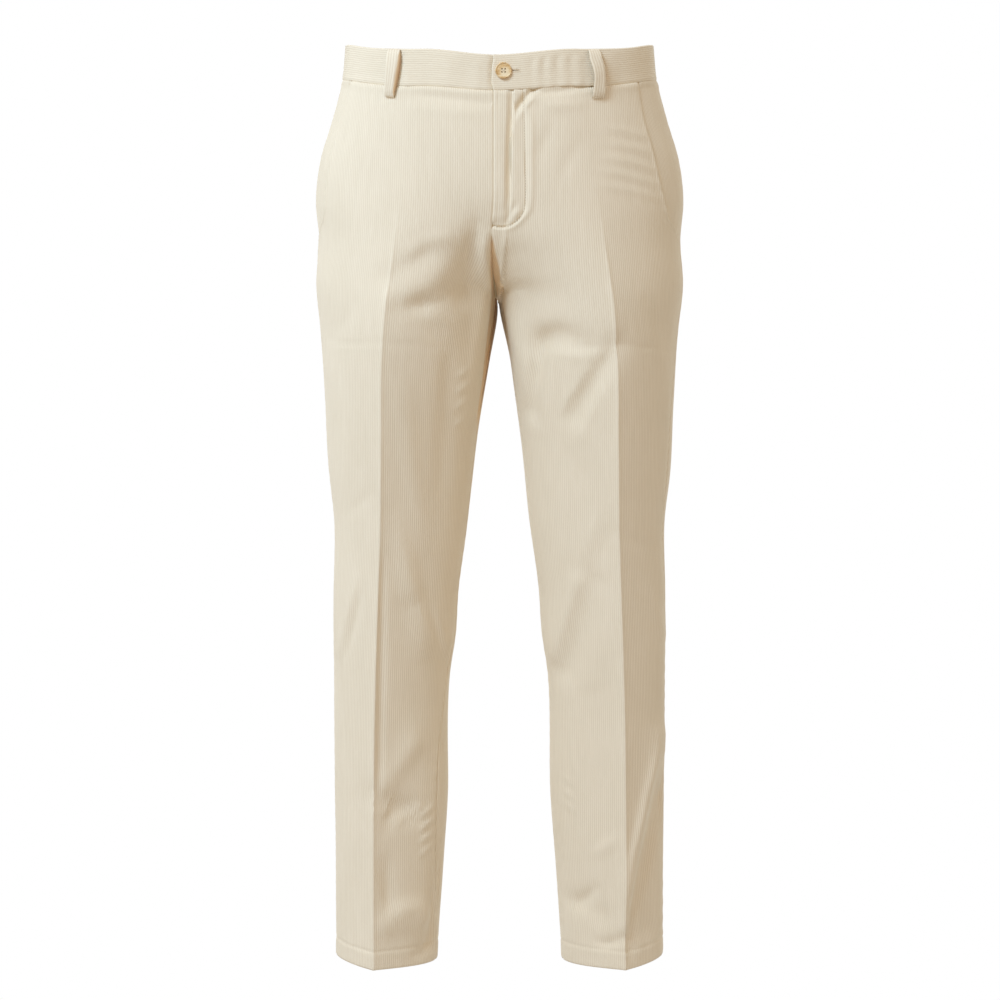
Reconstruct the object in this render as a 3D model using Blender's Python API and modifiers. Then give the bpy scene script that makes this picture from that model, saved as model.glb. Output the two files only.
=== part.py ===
"""Flat-front corduroy trousers, filled out as if worn, with open waist and hems.

Metres, +Z up. The front faces -Y and the wearer's left is +X. The origin is in the middle
of the waist, level with the top of the waistband at the sides. The tables are in
millimetres, and a ring's depth is how far below the waist it meets the side of the leg.
"""

import bmesh
import bpy
import numpy as np
from mathutils import Vector

MM = 0.001

# Driving dimensions, in millimetres
OUTSEAM = 1068.0
BAND_DEPTH = 44.0
FORK_DEPTH = 300.0
CLOTH = 1.6
BAND_CLOTH = 3.0
SEAM_GAP = 0.3
HEM_TURN_UP = 22.0
HEM_LAYERS = 2.0

# Fly and waistband lap: X of the folded edge on top, and how deep the layer below it lies.
# The columns are cuts of both layers, from that edge; the step leads down beside it.
LAP_EASE = 0.1
FLY_EDGE_X = -6.5
FLY_END_DEPTH = 200.0
FLY_COLUMNS = np.array([0.0, 7.5, 15.0])
FLY_TAPER = 30.0
FLY_LEAST = 0.03
FLY_STEP = 4.0
UNDER_CLOTH = CLOTH + SEAM_GAP + LAP_EASE
BAND_EDGE_X = -8.4
BAND_COLUMNS = np.array([0.0, 9.0, 18.0, 27.0, 36.0])
BAND_STEP = 9.0
UNDER_BAND = BAND_CLOTH + SEAM_GAP + LAP_EASE

# Slanted side pockets: the mouth leaves its drawn line at the closing depth for the outseam
POCKET_CLOSING_DEPTH = 205.0
POCKET_END_DEPTH = 252.0
POCKET_LEAST = 2.5
POCKET_TUCK = 8.0
POCKET_SINK = 2.6

# Belt loops: the strip stands off between its sewn ends, more steeply with a smaller bow
LOOP_WIDTH = 12.5
LOOP_CLOTH = 1.8
LOOP_TOP_DEPTH = 1.5
LOOP_LENGTH = 57.0
LOOP_STAND_OFF = 9.6
LOOP_SEAT = 0.4
LOOP_BOW = 0.45
SIDE_LOOP_BACK = 46.0

# Button: the outer side leans by the lean, and its corners are cut by the chamfer
BUTTON_X = 4.5
BUTTON_DEPTH = 20.5
BUTTON_RADIUS = 9.2
BUTTON_THICKNESS = 3.4
BUTTON_RIM = 1.9
BUTTON_DISH = 1.0
BUTTON_CHAMFER = 1.2
BUTTON_LEAN = 0.4
BUTTON_HOLE_RADIUS = 0.95
BUTTON_HOLE_OFFSET = 1.75
BUTTON_SEAT = 0.35

CORDUROY = ("corduroy", (0.80, 0.745, 0.617), 0.9)
HORN = ("horn", (0.72, 0.47, 0.20), 0.35)


def columns(names, rows):
    """A table as one array for each named column."""
    return dict(zip(names.split(), np.array(rows, float).T))


# Widest point of each ring at the side of the leg
SIDE = columns("depth x y", [
    (0, 178.8, 0),
    (44, 182.8, 0),
    (88, 194.2, 1),
    (135, 208.6, 3),
    (181, 214.3, 5),
    (228, 210.9, 5),
    (280, 213.8, 3),
    (330, 209.0, 0),
    (415, 203.4, -3),
    (500, 198.8, -6),
    (556, 193.0, -8),
    (640, 193.6, -9),
    (760, 194.0, -4),
    (900, 193.4, 0),
    (1068, 192.8, 1),
])

# Front half: centre front or inseam, with the way that the cloth leaves it, then the crease
# with its slopes towards the inside and the outside
FRONT = columns("depth edge_x edge_y edge_z turn crease_x crease_y crease_z inward outward", [
    (0, 0.0, -110.0, -26.0, 90, 90, -97, -18.0, -17, 17),
    (44, 0.0, -111.5, -66, 90, 92, -99, -60, -17, 17),
    (90, 0.0, -116.0, -108, 90, 98, -103, -104, -18, 18),
    (135, 0.0, -117.5, -152, 90, 105, -105, -147, -18, 19),
    (181, 0.0, -113.0, -196, 88, 112, -107, -190, -18, 21),
    (228, 0.0, -93.0, -241, 72, 118, -110, -235, -14, 24),
    (262, 0.5, -53.0, -273, 40, 123, -113, -269, -6, 27),
    (300, 3.2, -2.0, -296, 10, 128, -115, -304, 3, 30),
    (370, 14.3, -6.0, -372, 10, 133, -112, -372, 14, 33),
    (460, 27.5, -6.0, -460, 12, 134.5, -103, -461, 22, 36),
    (556, 37.5, -5.0, -556, 12, 136, -92, -557, 26, 38),
    (640, 48.5, -4.0, -640, 12, 139, -84, -642, 28, 40),
    (690, 52.0, -3.0, -690, 12, 141, -80, -692, 29, 41),
    (730, 58.0, -2.0, -730, 12, 142.5, -77, -732, 30, 42),
    (880, 61.8, 2.0, -880, 12, 145.5, -68, -883, 31, 43),
    (980, 69.0, 4.0, -980, 12, 146, -65, -984, 29, 43),
    (1068, 75.0, 5.0, -1076, 12, 146, -64, -1074, 24, 43),
])

# Back half: the crease, then centre back or the inseam with the way that the cloth meets it
BACK = columns("depth crease_x crease_y crease_z outward inward edge_y edge_z turn", [
    (0, 84, 101, 1, 14, -14, 115, 2, -90),
    (44, 86, 104, -43, 13, -13, 118, -42, -90),
    (90, 92, 123, -97, 10, -10, 134, -107, -90),
    (135, 96, 134, -150, 8, -8, 143, -171, -90),
    (181, 97, 138, -203, 8, -8, 136, -231, -88),
    (228, 96, 136, -250, 10, -8, 104, -277, -68),
    (262, 94, 131, -282, 13, -4, 54, -300, -30),
    (300, 91, 123, -312, 17, 4, -2, -296, 10),
    (370, 89, 107, -374, 22, 14, -6, -372, 10),
    (460, 92, 88, -461, 26, 24, -6, -460, 12),
    (556, 97, 73, -556, 28, 32, -5, -556, 12),
    (640, 103, 67, -640, 30, 37, -4, -640, 12),
    (690, 105, 68, -690, 30, 39, -3, -690, 12),
    (730, 108, 71, -730, 31, 40, -2, -730, 12),
    (880, 113, 74, -879, 31, 42, 2, -880, 12),
    (980, 118, 70, -978, 31, 43, 4, -980, 12),
    (1068, 120, 66, -1064, 31, 43, 5, -1076, 12),
])

# X of the rise seam in front and behind, because the trunk stands a little turned
DRIFT = columns("depth front back", [
    (0, -5.0, 2.0),
    (100, -6.0, 2.0),
    (200, -8.5, 0.5),
    (235, -9.0, -1.0),
    (262, -7.0, -2.5),
    (300, -2.0, -2.0),
    (350, 0.5, 0.5),
    (400, 0.0, 0.0),
    (1068, 0.0, 0.0),
])

# Seams of the wearer's right leg and left leg, as distance forward of the ring's widest points
SEAMS = columns("depth right_in right_out left_in left_out", [
    (44, 0, -8, 0, 8),
    (240, 0, -8, 0, 12),
    (340, 0, -6, 0, 22),
    (430, 0, -4, 0, 28),
    (520, 0, -4, 0, 25),
    (600, 0, -4, 0, 15),
    (700, 2, -3, -2, 7),
    (860, 26, -3, -4, 3),
    (930, 23, -3, -4, 2),
    (1010, 12, 0, -2, 0),
    (1068, 5, 0, 0, 0),
])

# Pocket mouths in front view, as X of the edge on the wearer's right and on the left
MOUTHS = columns("depth right left", [
    (44, 170, 158),
    (90, 184, 166),
    (125, 193, 176),
    (165, 200, 185),
    (200, 204, 194),
    (230, 207, 203),
    (252, 210, 209),
])

# The largest soft folds of the front, from one end to the other in front view:
# height is out of the cloth, and a trough's is negative
FOLDS = [
    # x0, z0, x1, z1, width, height
    (-25, -222, -46, -290, 15, -3.5),
    (-126, -277, -84, -246, 16, -3.0),
    (-112, -310, -46, -296, 14, -4.0),
    (-96, -652, -58, -730, 14, -3.0),
    (-142, -868, -104, -892, 14, -3.5),
    (-136, -864, -100, -815, 12, 2.5),
    (-130, -1024, -90, -1022, 12, 2.5),
    (50, -346, 96, -352, 16, -4.0),
    (130, -352, 88, -430, 15, -4.5),
    (47, -352, 36, -424, 14, -3.5),
    (108, -625, 76, -728, 14, -3.5),
    (88, -625, 64, -712, 12, 2.5),
    (186, -806, 150, -1020, 13, 3.0),
    (190, -880, 172, -1030, 13, -3.5),
    (86, -1000, 120, -1012, 12, -2.5),
]

# Waist seam, trunk, thigh, leg and turn-up rows of a panel
PANEL_DEPTHS = np.concatenate([
    np.linspace(BAND_DEPTH + SEAM_GAP / 2, FLY_END_DEPTH - 4, 7),
    np.linspace(FLY_END_DEPTH, POCKET_END_DEPTH, 4),
    np.linspace(POCKET_END_DEPTH + 3, 460, 9),
    np.linspace(492, OUTSEAM - HEM_TURN_UP, 16),
    np.linspace(OUTSEAM - HEM_TURN_UP + 3, OUTSEAM, 2),
])
BAND_DEPTHS = np.linspace(0, BAND_DEPTH - SEAM_GAP / 2, 3)
ARC_STEPS = 32
OVERRUN_STEPS = 24
FOLD_FADE = 5

# Steps round each piece
FRONT_INNER_STEPS = 5
FRONT_OUTER_STEPS = 6
BACK_STEPS = 7
FACING_STEPS = 4
BAND_FRONT_STEPS = 10
BAND_BACK_STEPS = 12
LOOP_STEPS = 12
BUTTON_STEPS = 40
HOLE_STEPS = 12


def along(table, name, depth):
    """A smooth curve through one column, with slopes that are means of the slopes beside."""
    knots, values = table["depth"], table[name]
    steps = np.diff(knots)
    slopes = np.diff(values) / steps
    middle = (slopes[:-1] * steps[1:] + slopes[1:] * steps[:-1]) / (steps[:-1] + steps[1:])
    tangents = np.concatenate([slopes[:1], middle, slopes[-1:]])
    i = np.clip(np.searchsorted(knots, depth, side="right") - 1, 0, len(steps) - 1)
    t = (depth - knots[i]) / steps[i]
    return (
        values[i] * (1 + 2 * t) * (1 - t) ** 2
        + tangents[i] * steps[i] * t * (1 - t) ** 2
        + values[i + 1] * t * t * (3 - 2 * t)
        + tangents[i + 1] * steps[i] * t * t * (t - 1)
    )


def stacked(x, y, z):
    return np.stack(np.broadcast_arrays(x, y, z), axis=-1).astype(float)


def heading(degrees):
    """The level direction at this angle from +X towards +Y."""
    angle = np.radians(degrees)
    return stacked(np.cos(angle), np.sin(angle), 0.0)


def arc(start, start_way, end, end_way):
    """Cubic curves from start to end, with the handles that a round arc would have."""
    bend = np.arccos(np.clip((start_way * end_way).sum(-1), -1, 0.9999))
    chord = np.linalg.norm((end - start)[..., :2], axis=-1)
    handle = (chord * np.tan(bend / 4) / np.sin(bend / 2) * 2 / 3)[..., None]
    t = np.linspace(0, 1, ARC_STEPS + 1)[:, None]
    corners = (start, start + handle * start_way, end - handle * end_way, end)
    weights = ((1 - t) ** 3, 3 * t * (1 - t) ** 2, 3 * t * t * (1 - t), t**3)
    return sum(w * corner[:, None, :] for w, corner in zip(weights, corners))


def with_folds(points, outward, side):
    """Moves the front's points out or in by each fold, which fades away from its line."""
    step = np.arange(points.shape[1])
    front = np.clip(np.minimum(step, 2 * ARC_STEPS - step) / FOLD_FADE, 0, 1)
    flat = points[..., [0, 2]] * (side, 1)
    height = np.zeros(flat.shape[:2])
    for x0, z0, x1, z1, width, rise in FOLDS:
        start, run = np.array([x0, z0]), np.array([x1 - x0, z1 - z0])
        t = np.clip((flat - start) @ run / (run @ run), 0, 1)
        off = np.linalg.norm(flat - start - t[..., None] * run, axis=-1)
        height += rise * np.exp(-((off / width) ** 2))
    return points + (height * front)[..., None] * outward


def normals_of(points):
    """Outward normals of a grid whose rows run down and whose columns run front to back."""
    down = np.gradient(points, axis=0)
    across = np.gradient(points, axis=1)
    normal = np.cross(across, -down)
    return normal / np.linalg.norm(normal, axis=-1, keepdims=True)


class Half:
    """One half of the garment, on its own side of the middle, as rings cut at some depths.

    Each ring runs from the centre front or the inseam over the front crease, the side and
    the back crease to the centre back or the inseam. side is -1 on the wearer's right. X is
    counted outwards from the middle of the garment. Lengths along a ring start at its front
    edge, and run on past both of its edges onto the cloth beyond.
    """

    def __init__(self, side, depths):
        self.side = side
        self.depths = depths
        front_edge = stacked(
            side * along(DRIFT, "front", depths) + along(FRONT, "edge_x", depths),
            along(FRONT, "edge_y", depths),
            along(FRONT, "edge_z", depths),
        )
        front_crease = stacked(*(along(FRONT, "crease_" + axis, depths) for axis in "xyz"))
        front_inward = heading(-along(FRONT, "inward", depths))
        front_outward = heading(along(FRONT, "outward", depths))
        widest = stacked(along(SIDE, "x", depths), along(SIDE, "y", depths), -depths)
        back_crease = stacked(*(along(BACK, "crease_" + axis, depths) for axis in "xyz"))
        back_outward = heading(180 - along(BACK, "outward", depths))
        back_inward = heading(180 + along(BACK, "inward", depths))
        seat_seam = stacked(
            side * along(DRIFT, "back", depths) + along(FRONT, "edge_x", depths),
            along(BACK, "edge_y", depths),
            along(BACK, "edge_z", depths),
        )
        back_edge = np.where(depths[:, None] < FORK_DEPTH, seat_seam, front_edge)
        leave = heading(along(FRONT, "turn", depths) - 90)
        meet = heading(along(BACK, "turn", depths) - 90)
        backwards = heading(90 + 0 * depths)
        arcs = (
            arc(front_edge, leave, front_crease, front_inward),
            arc(front_crease, front_outward, widest, backwards),
            arc(widest, backwards, back_crease, back_outward),
            arc(back_crease, back_inward, back_edge, meet),
        )
        points = np.concatenate([arcs[0]] + [part[:, 1:] for part in arcs[1:]], axis=1)
        points = with_folds(points, normals_of(points), side)
        self.points = self.with_overrun(points)
        self.normals = normals_of(self.points)
        steps = np.linalg.norm(np.diff(self.points, axis=1), axis=-1)
        lengths = np.concatenate([np.zeros((len(depths), 1)), np.cumsum(steps, axis=1)], axis=1)
        self.lengths = lengths - lengths[:, OVERRUN_STEPS, None]
        marks = OVERRUN_STEPS + ARC_STEPS * np.arange(5)
        self.front, self.crease, self.widest, self.back_crease, self.back = self.lengths[:, marks].T

    def with_overrun(self, points):
        """Adds the cloth beyond both edges: mirrored on the trunk, round the leg below."""
        far_front = points[:, 1 : OVERRUN_STEPS + 1][:, ::-1]
        far_back = points[:, -OVERRUN_STEPS - 1 : -1][:, ::-1]
        mirrored = np.array([-1.0, 1.0, 1.0])
        before_trunk = far_front * mirrored + points[:, :1] * (2, 0, 0)
        after_trunk = far_back * mirrored + points[:, -1:] * (2, 0, 0)
        trunk = (self.depths < FORK_DEPTH)[:, None, None]
        before = np.where(trunk, before_trunk, points[:, -OVERRUN_STEPS - 1 : -1])
        after = np.where(trunk, after_trunk, points[:, 1 : OVERRUN_STEPS + 1])
        return np.concatenate([before, points, after], axis=1)

    def at(self, lengths, lift=0.0):
        """World points at these lengths along the rings, a row for each, moved out by lift."""
        lift = np.broadcast_to(lift, lengths.shape)[..., None]
        placed = self.read(self.points, lengths) + lift * self.read(self.normals, lengths)
        return placed * (self.side, 1, 1) * MM

    def read(self, values, lengths):
        rows = zip(lengths, self.lengths, values)
        return np.array([
            np.stack([np.interp(s, known, row[:, axis]) for axis in range(3)], axis=-1)
            for s, known, row in rows
        ])

    def seam(self, end):
        """Length at the inseam's or outseam's place, from the table of seams."""
        leg = "left" if self.side > 0 else "right"
        return along(SEAMS, f"{leg}_{end}", np.clip(self.depths, BAND_DEPTH, OUTSEAM))

    def length_at_x(self, x):
        """Length where the front half of each ring reaches this far from the middle."""
        first, last = OVERRUN_STEPS // 2, OVERRUN_STEPS + 2 * ARC_STEPS
        outwards = self.points[:, first:last, 0]
        lengths = self.lengths[:, first:last]
        x = np.broadcast_to(x, len(self.depths))
        return np.array([np.interp(*row) for row in zip(x, outwards, lengths)])


def spread(start, end, count):
    """Lengths from start to end of each row, evenly, as one row for each ring."""
    return start[:, None] + (end - start)[:, None] * np.linspace(0, 1, count + 1)


def walled_mesh(name, outer, inner, flip):
    """A closed wall between two grids of points, one quad for each cell and each rim step."""
    rows, width = outer.shape[:2]
    corner = np.arange(2 * rows * width).reshape(2, rows, width)
    back_to_front = slice(None, None, -1)
    rims = ((0, slice(None)), (slice(None), -1), (-1, back_to_front), (back_to_front, 0))
    strips = [corner[0], corner[1][:, ::-1]]
    strips += [np.stack([corner[1][rim], corner[0][rim]]) for rim in rims]
    quads = []
    for strip in strips:
        around = [strip[:-1, :-1], strip[1:, :-1], strip[1:, 1:], strip[:-1, 1:]]
        quads += np.stack(around[::-1] if flip else around, axis=-1).reshape(-1, 4).tolist()
    mesh = bpy.data.meshes.new(name)
    mesh.from_pydata(np.concatenate([outer, inner]).reshape(-1, 3).tolist(), [], quads)
    return mesh


def material(name, colour, roughness):
    made = bpy.data.materials.new(name)
    made.use_nodes = True
    made.diffuse_color = (*colour, 1.0)
    shader = made.node_tree.nodes["Principled BSDF"]
    shader.inputs["Base Color"].default_value = (*colour, 1.0)
    shader.inputs["Roughness"].default_value = roughness
    shader.inputs["Metallic"].default_value = 0.0
    return made


def placed(name, mesh, finish):
    """A new object of the garment, with a finish of its own."""
    finish_name, colour, roughness = finish
    mesh.materials.append(material(f"{name}_{finish_name}", colour, roughness))
    made = bpy.data.objects.new(name, mesh)
    bpy.data.collections["trousers"].objects.link(made)
    return made


def sewn(name, half, lengths, lift, thickness):
    """A cloth piece whose wall lies inside these points of the rings, moved out by lift.

    The wall follows the garment's own normals, so that neighbours meet face to face.
    """
    outer = half.at(lengths, lift)
    inner = half.at(lengths, lift - thickness)
    placed(name, walled_mesh(name, outer, inner, flip=half.side < 0), CORDUROY)


def panel_cloth(half):
    """Wall of each row of a panel, doubled where the hem is turned up."""
    turned_up = half.depths > OUTSEAM - HEM_TURN_UP
    return np.where(turned_up, HEM_LAYERS * CLOTH, CLOTH)[:, None]


def fly_edge(half):
    """Length from each ring's front edge to the fly's folded edge, none below the fly."""
    reach = half.side * (FLY_EDGE_X - along(DRIFT, "front", half.depths))
    return reach * np.clip((FLY_END_DEPTH - half.depths) / FLY_TAPER, 0, 1)


def front_panel(side):
    """From the fly or inseam over the crease to the pocket mouth or the outseam.

    On the wearer's right it runs on under the fly's folded edge.
    """
    half = Half(side, PANEL_DEPTHS)
    leg = half.depths > FORK_DEPTH
    pocket = half.depths <= POCKET_END_DEPTH
    start = fly_edge(half) + np.where(leg, half.seam("in"), 0.0) + SEAM_GAP / 2
    end = np.where(pocket, mouth(half), outseam(half)) - SEAM_GAP / 2
    near = start[:, None] + FLY_COLUMNS
    lift = np.zeros_like(near)
    if side < 0:
        fly = half.depths < FLY_END_DEPTH
        above_end = FLY_END_DEPTH - half.depths[fly, None]
        tuck = -FLY_COLUMNS[::-1] * np.clip(above_end / FLY_TAPER, FLY_LEAST, 1)
        near[fly] = start[fly, None] + tuck
        lift[fly] = -UNDER_CLOTH
        lift[half.depths == FLY_END_DEPTH, 0] = -UNDER_CLOTH
        step = np.where(fly, start + FLY_STEP, near[:, -1] + FLY_STEP)
        near = np.append(near, step[:, None], axis=1)
    inner = spread(near[:, -1], half.crease, FRONT_INNER_STEPS)[:, 1:]
    outer = spread(half.crease, end - POCKET_TUCK, FRONT_OUTER_STEPS)[:, 1:]
    lengths = np.concatenate([near, inner, outer, end[:, None]], axis=1)
    lift = np.pad(lift, ((0, 0), (0, lengths.shape[1] - lift.shape[1])))
    name = "front_left" if side > 0 else "front_right"
    sewn(name, half, lengths, lift, panel_cloth(half))


def outseam(half):
    """Length to the outseam of each ring."""
    return half.widest - half.seam("out")


def mouth(half):
    """Length to the pocket mouth's folded edge, which runs down to the outseam."""
    column = "left" if half.side > 0 else "right"
    within = np.clip(half.depths, BAND_DEPTH, POCKET_END_DEPTH)
    drawn = half.length_at_x(along(MOUTHS, column, within))
    closing = (within - POCKET_CLOSING_DEPTH) / (POCKET_END_DEPTH - POCKET_CLOSING_DEPTH)
    return drawn + np.clip(closing, 0, 1) * (outseam(half) - POCKET_LEAST - drawn)


def pocket_facing(side):
    """The strip seen inside the pocket mouth, from under the front panel to the side seam."""
    half = Half(side, PANEL_DEPTHS[PANEL_DEPTHS <= POCKET_END_DEPTH])
    edge = mouth(half) - SEAM_GAP / 2
    end = outseam(half) - SEAM_GAP / 2
    near = np.stack([edge - POCKET_TUCK, edge], axis=1)
    lengths = np.concatenate([near, spread(edge, end, FACING_STEPS)[:, 1:]], axis=1)
    sunk = POCKET_SINK * np.clip((end[:, None] - lengths) / (end - edge)[:, None], 0, 1)
    name = "pocket_facing_left" if side > 0 else "pocket_facing_right"
    sewn(name, half, lengths, -sunk, CLOTH)


def back_panel(side):
    """From the outseam over the back crease to the seat seam or the inseam."""
    half = Half(side, PANEL_DEPTHS)
    start = outseam(half) + SEAM_GAP / 2
    inseam = np.where(half.depths > FORK_DEPTH, half.seam("in"), 0.0)
    end = half.back + inseam - SEAM_GAP / 2
    outer = spread(start, half.back_crease, BACK_STEPS)
    inner = spread(half.back_crease, end, BACK_STEPS)[:, 1:]
    lengths = np.concatenate([outer, inner], axis=1)
    name = "back_left" if side > 0 else "back_right"
    sewn(name, half, lengths, np.zeros_like(lengths), panel_cloth(half))


def waistband(side):
    """Half of the band, from the front lap to the centre back; the right half tucks under."""
    half = Half(side, BAND_DEPTHS)
    start = side * (BAND_EDGE_X - along(DRIFT, "front", half.depths)) + SEAM_GAP / 2
    end = half.back - SEAM_GAP / 2
    near = start[:, None] + BAND_COLUMNS
    lift = np.zeros_like(near)
    if side < 0:
        near = start[:, None] - BAND_COLUMNS[::-1]
        lift -= UNDER_BAND
        near = np.append(near, start[:, None] + BAND_STEP, axis=1)
    front = spread(near[:, -1], half.widest, BAND_FRONT_STEPS)[:, 1:]
    back = spread(half.widest, end, BAND_BACK_STEPS)[:, 1:]
    lengths = np.concatenate([near, front, back], axis=1)
    lift = np.pad(lift, ((0, 0), (0, lengths.shape[1] - lift.shape[1])))
    name = "waistband_left" if side > 0 else "waistband_right"
    sewn(name, half, lengths, lift, BAND_CLOTH)


def belt_loop(name, side, place):
    """A folded strip over the band: sewn at its top edge and below its seam, open between."""
    down = np.linspace(0, 1, LOOP_STEPS + 1)
    half = Half(side, LOOP_TOP_DEPTH + LOOP_LENGTH * down)
    sewn_down = LOOP_SEAT + LOOP_CLOTH
    stand = sewn_down + (LOOP_STAND_OFF - sewn_down) * np.sin(np.pi * down) ** LOOP_BOW
    lengths = place(half)[:, None] + LOOP_WIDTH * np.array([-0.5, 0.0, 0.5])
    sewn(name, half, lengths, stand[:, None], LOOP_CLOTH)


def button():
    """A turned four-hole button: a raised rim round a shallow dish, cut by its thread holes."""
    half = Half(1, BUTTON_DEPTH + np.array([-1.0, 0.0, 1.0]))
    length = half.length_at_x(BUTTON_X)[:, None]
    seat = half.at(length, BUTTON_SEAT)[1, 0]
    outward = half.at(length, BUTTON_SEAT + BUTTON_THICKNESS)[1, 0] - seat
    profile = [
        # radius, height
        (0, BUTTON_THICKNESS - BUTTON_DISH),
        (BUTTON_RADIUS - BUTTON_RIM, BUTTON_THICKNESS - BUTTON_DISH),
        (BUTTON_RADIUS - BUTTON_RIM / 2, BUTTON_THICKNESS),
        (BUTTON_RADIUS - BUTTON_LEAN, BUTTON_THICKNESS - BUTTON_LEAN),
        (BUTTON_RADIUS, BUTTON_THICKNESS / 2),
        (BUTTON_RADIUS - BUTTON_LEAN, BUTTON_LEAN),
        (BUTTON_RADIUS - BUTTON_CHAMFER, 0),
        (0, 0),
    ]
    corners = [(radius * MM, 0, height * MM) for radius, height in profile]
    edges = [(i, i + 1) for i in range(len(corners) - 1)]
    mesh = bpy.data.meshes.new("button")
    mesh.from_pydata(corners, edges, [])
    made = placed("button", mesh, HORN)
    made.location = seat
    made.rotation_mode = "QUATERNION"
    made.rotation_quaternion = Vector(outward).to_track_quat("Z", "Y")
    turn = made.modifiers.new("turn", "SCREW")
    turn.axis = "Z"
    turn.steps = turn.render_steps = BUTTON_STEPS
    turn.use_merge_vertices = True
    turn.merge_threshold = 0.00001
    for column in (-1, 1):
        for row in (-1, 1):
            drill = thread_hole(column * BUTTON_HOLE_OFFSET, row * BUTTON_HOLE_OFFSET)
            drill.parent = made
            cut = made.modifiers.new("thread_hole", "BOOLEAN")
            cut.object = drill
            cut.solver = "EXACT"


def thread_hole(x, y):
    """The cutter of one hole, longer than the button is thick."""
    tool = bmesh.new()
    bmesh.ops.create_cone(
        tool, cap_ends=True, segments=HOLE_STEPS, radius1=BUTTON_HOLE_RADIUS * MM,
        radius2=BUTTON_HOLE_RADIUS * MM, depth=4 * BUTTON_THICKNESS * MM,
    )
    mesh = bpy.data.meshes.new("thread_hole")
    tool.to_mesh(mesh)
    tool.free()
    drill = bpy.data.objects.new("thread_hole", mesh)
    drill.location = (x * MM, y * MM, 0)
    drill.hide_render = True
    drill.display_type = "WIRE"
    bpy.data.collections["cutters"].objects.link(drill)
    return drill


def clear_scene():
    for old in list(bpy.data.objects):
        bpy.data.objects.remove(old)
    for name in ("trousers", "cutters"):
        made = bpy.data.collections.new(name)
        bpy.context.scene.collection.children.link(made)
    bpy.data.collections["cutters"].hide_render = True


clear_scene()
for side in (-1, 1):
    front_panel(side)
    pocket_facing(side)
    back_panel(side)
    waistband(side)
belt_loop("belt_loop_front_right", -1, lambda half: half.length_at_x(123))
belt_loop("belt_loop_front_left", 1, lambda half: half.length_at_x(110))
belt_loop("belt_loop_side_right", -1, lambda half: half.widest + SIDE_LOOP_BACK)
belt_loop("belt_loop_side_left", 1, lambda half: half.widest + SIDE_LOOP_BACK)
belt_loop("belt_loop_back", 1, lambda half: half.back)
button()
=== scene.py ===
"""Looks of flat-front corduroy trousers, filled out as if worn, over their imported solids.

Lengths in the sections are millimetres. Every cloth piece is a thin closed shell on the
rings of its own solid, so it lies where the solid lies, and its ribs are real relief.
"""

import bpy
import numpy as np
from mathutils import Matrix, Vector


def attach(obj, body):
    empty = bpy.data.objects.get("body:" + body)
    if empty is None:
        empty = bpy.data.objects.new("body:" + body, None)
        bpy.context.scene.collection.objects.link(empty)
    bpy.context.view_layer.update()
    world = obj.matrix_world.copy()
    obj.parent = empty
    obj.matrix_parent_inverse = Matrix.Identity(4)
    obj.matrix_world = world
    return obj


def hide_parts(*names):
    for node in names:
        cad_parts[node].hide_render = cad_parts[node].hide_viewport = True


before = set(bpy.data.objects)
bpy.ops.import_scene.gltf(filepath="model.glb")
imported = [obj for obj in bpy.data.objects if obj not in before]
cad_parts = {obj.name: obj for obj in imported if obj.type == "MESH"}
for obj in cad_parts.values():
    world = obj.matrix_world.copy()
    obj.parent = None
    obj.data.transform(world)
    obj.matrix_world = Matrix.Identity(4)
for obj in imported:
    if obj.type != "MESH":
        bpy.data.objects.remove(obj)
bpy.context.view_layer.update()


# ------------------------------------------------------------------ front panels
# Two fronts of fine-wale cotton corduroy, ribs running down the leg, pressed to a sharp
# centre crease. The left front is folded under at the fly and laps over the right front,
# and each front is cut away at the side and folded under to make the pocket mouth.

MM = 0.001
OUTSEAM = 1068.0
BAND_DEPTH = 44.0
FORK_DEPTH = 300.0
CLOTH = 1.6
SEAM_GAP = 0.06
HEM_TURN_UP = 22.0

FLY_EDGE_X = -6.5
FLY_END_DEPTH = 200.0
FLY_TUCK = 15.0
FLY_TAPER = 30.0
FLY_STEP = 4.0
UNDER_CLOTH = 2.0

POCKET_CLOSING_DEPTH = 205.0
POCKET_END_DEPTH = 252.0
POCKET_LEAST = 2.5

ARC_STEPS = 96
OVERRUN_STEPS = 72
FOLD_FADE = 15


def columns(names, rows):
    """A table as one array for each named column."""
    return dict(zip(names.split(), np.array(rows, float).T))


# Widest point of each ring at the side of the leg
SIDE = columns("depth x y", [
    (0, 178.8, 0), (44, 182.8, 0), (88, 194.2, 1), (135, 208.6, 3), (181, 214.3, 5),
    (228, 210.9, 5), (280, 213.8, 3), (330, 209, 0), (415, 203.4, -3), (500, 198.8, -6),
    (556, 193, -8), (640, 193.6, -9), (760, 194, -4), (900, 193.4, 0), (1068, 192.8, 1),
])

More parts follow.
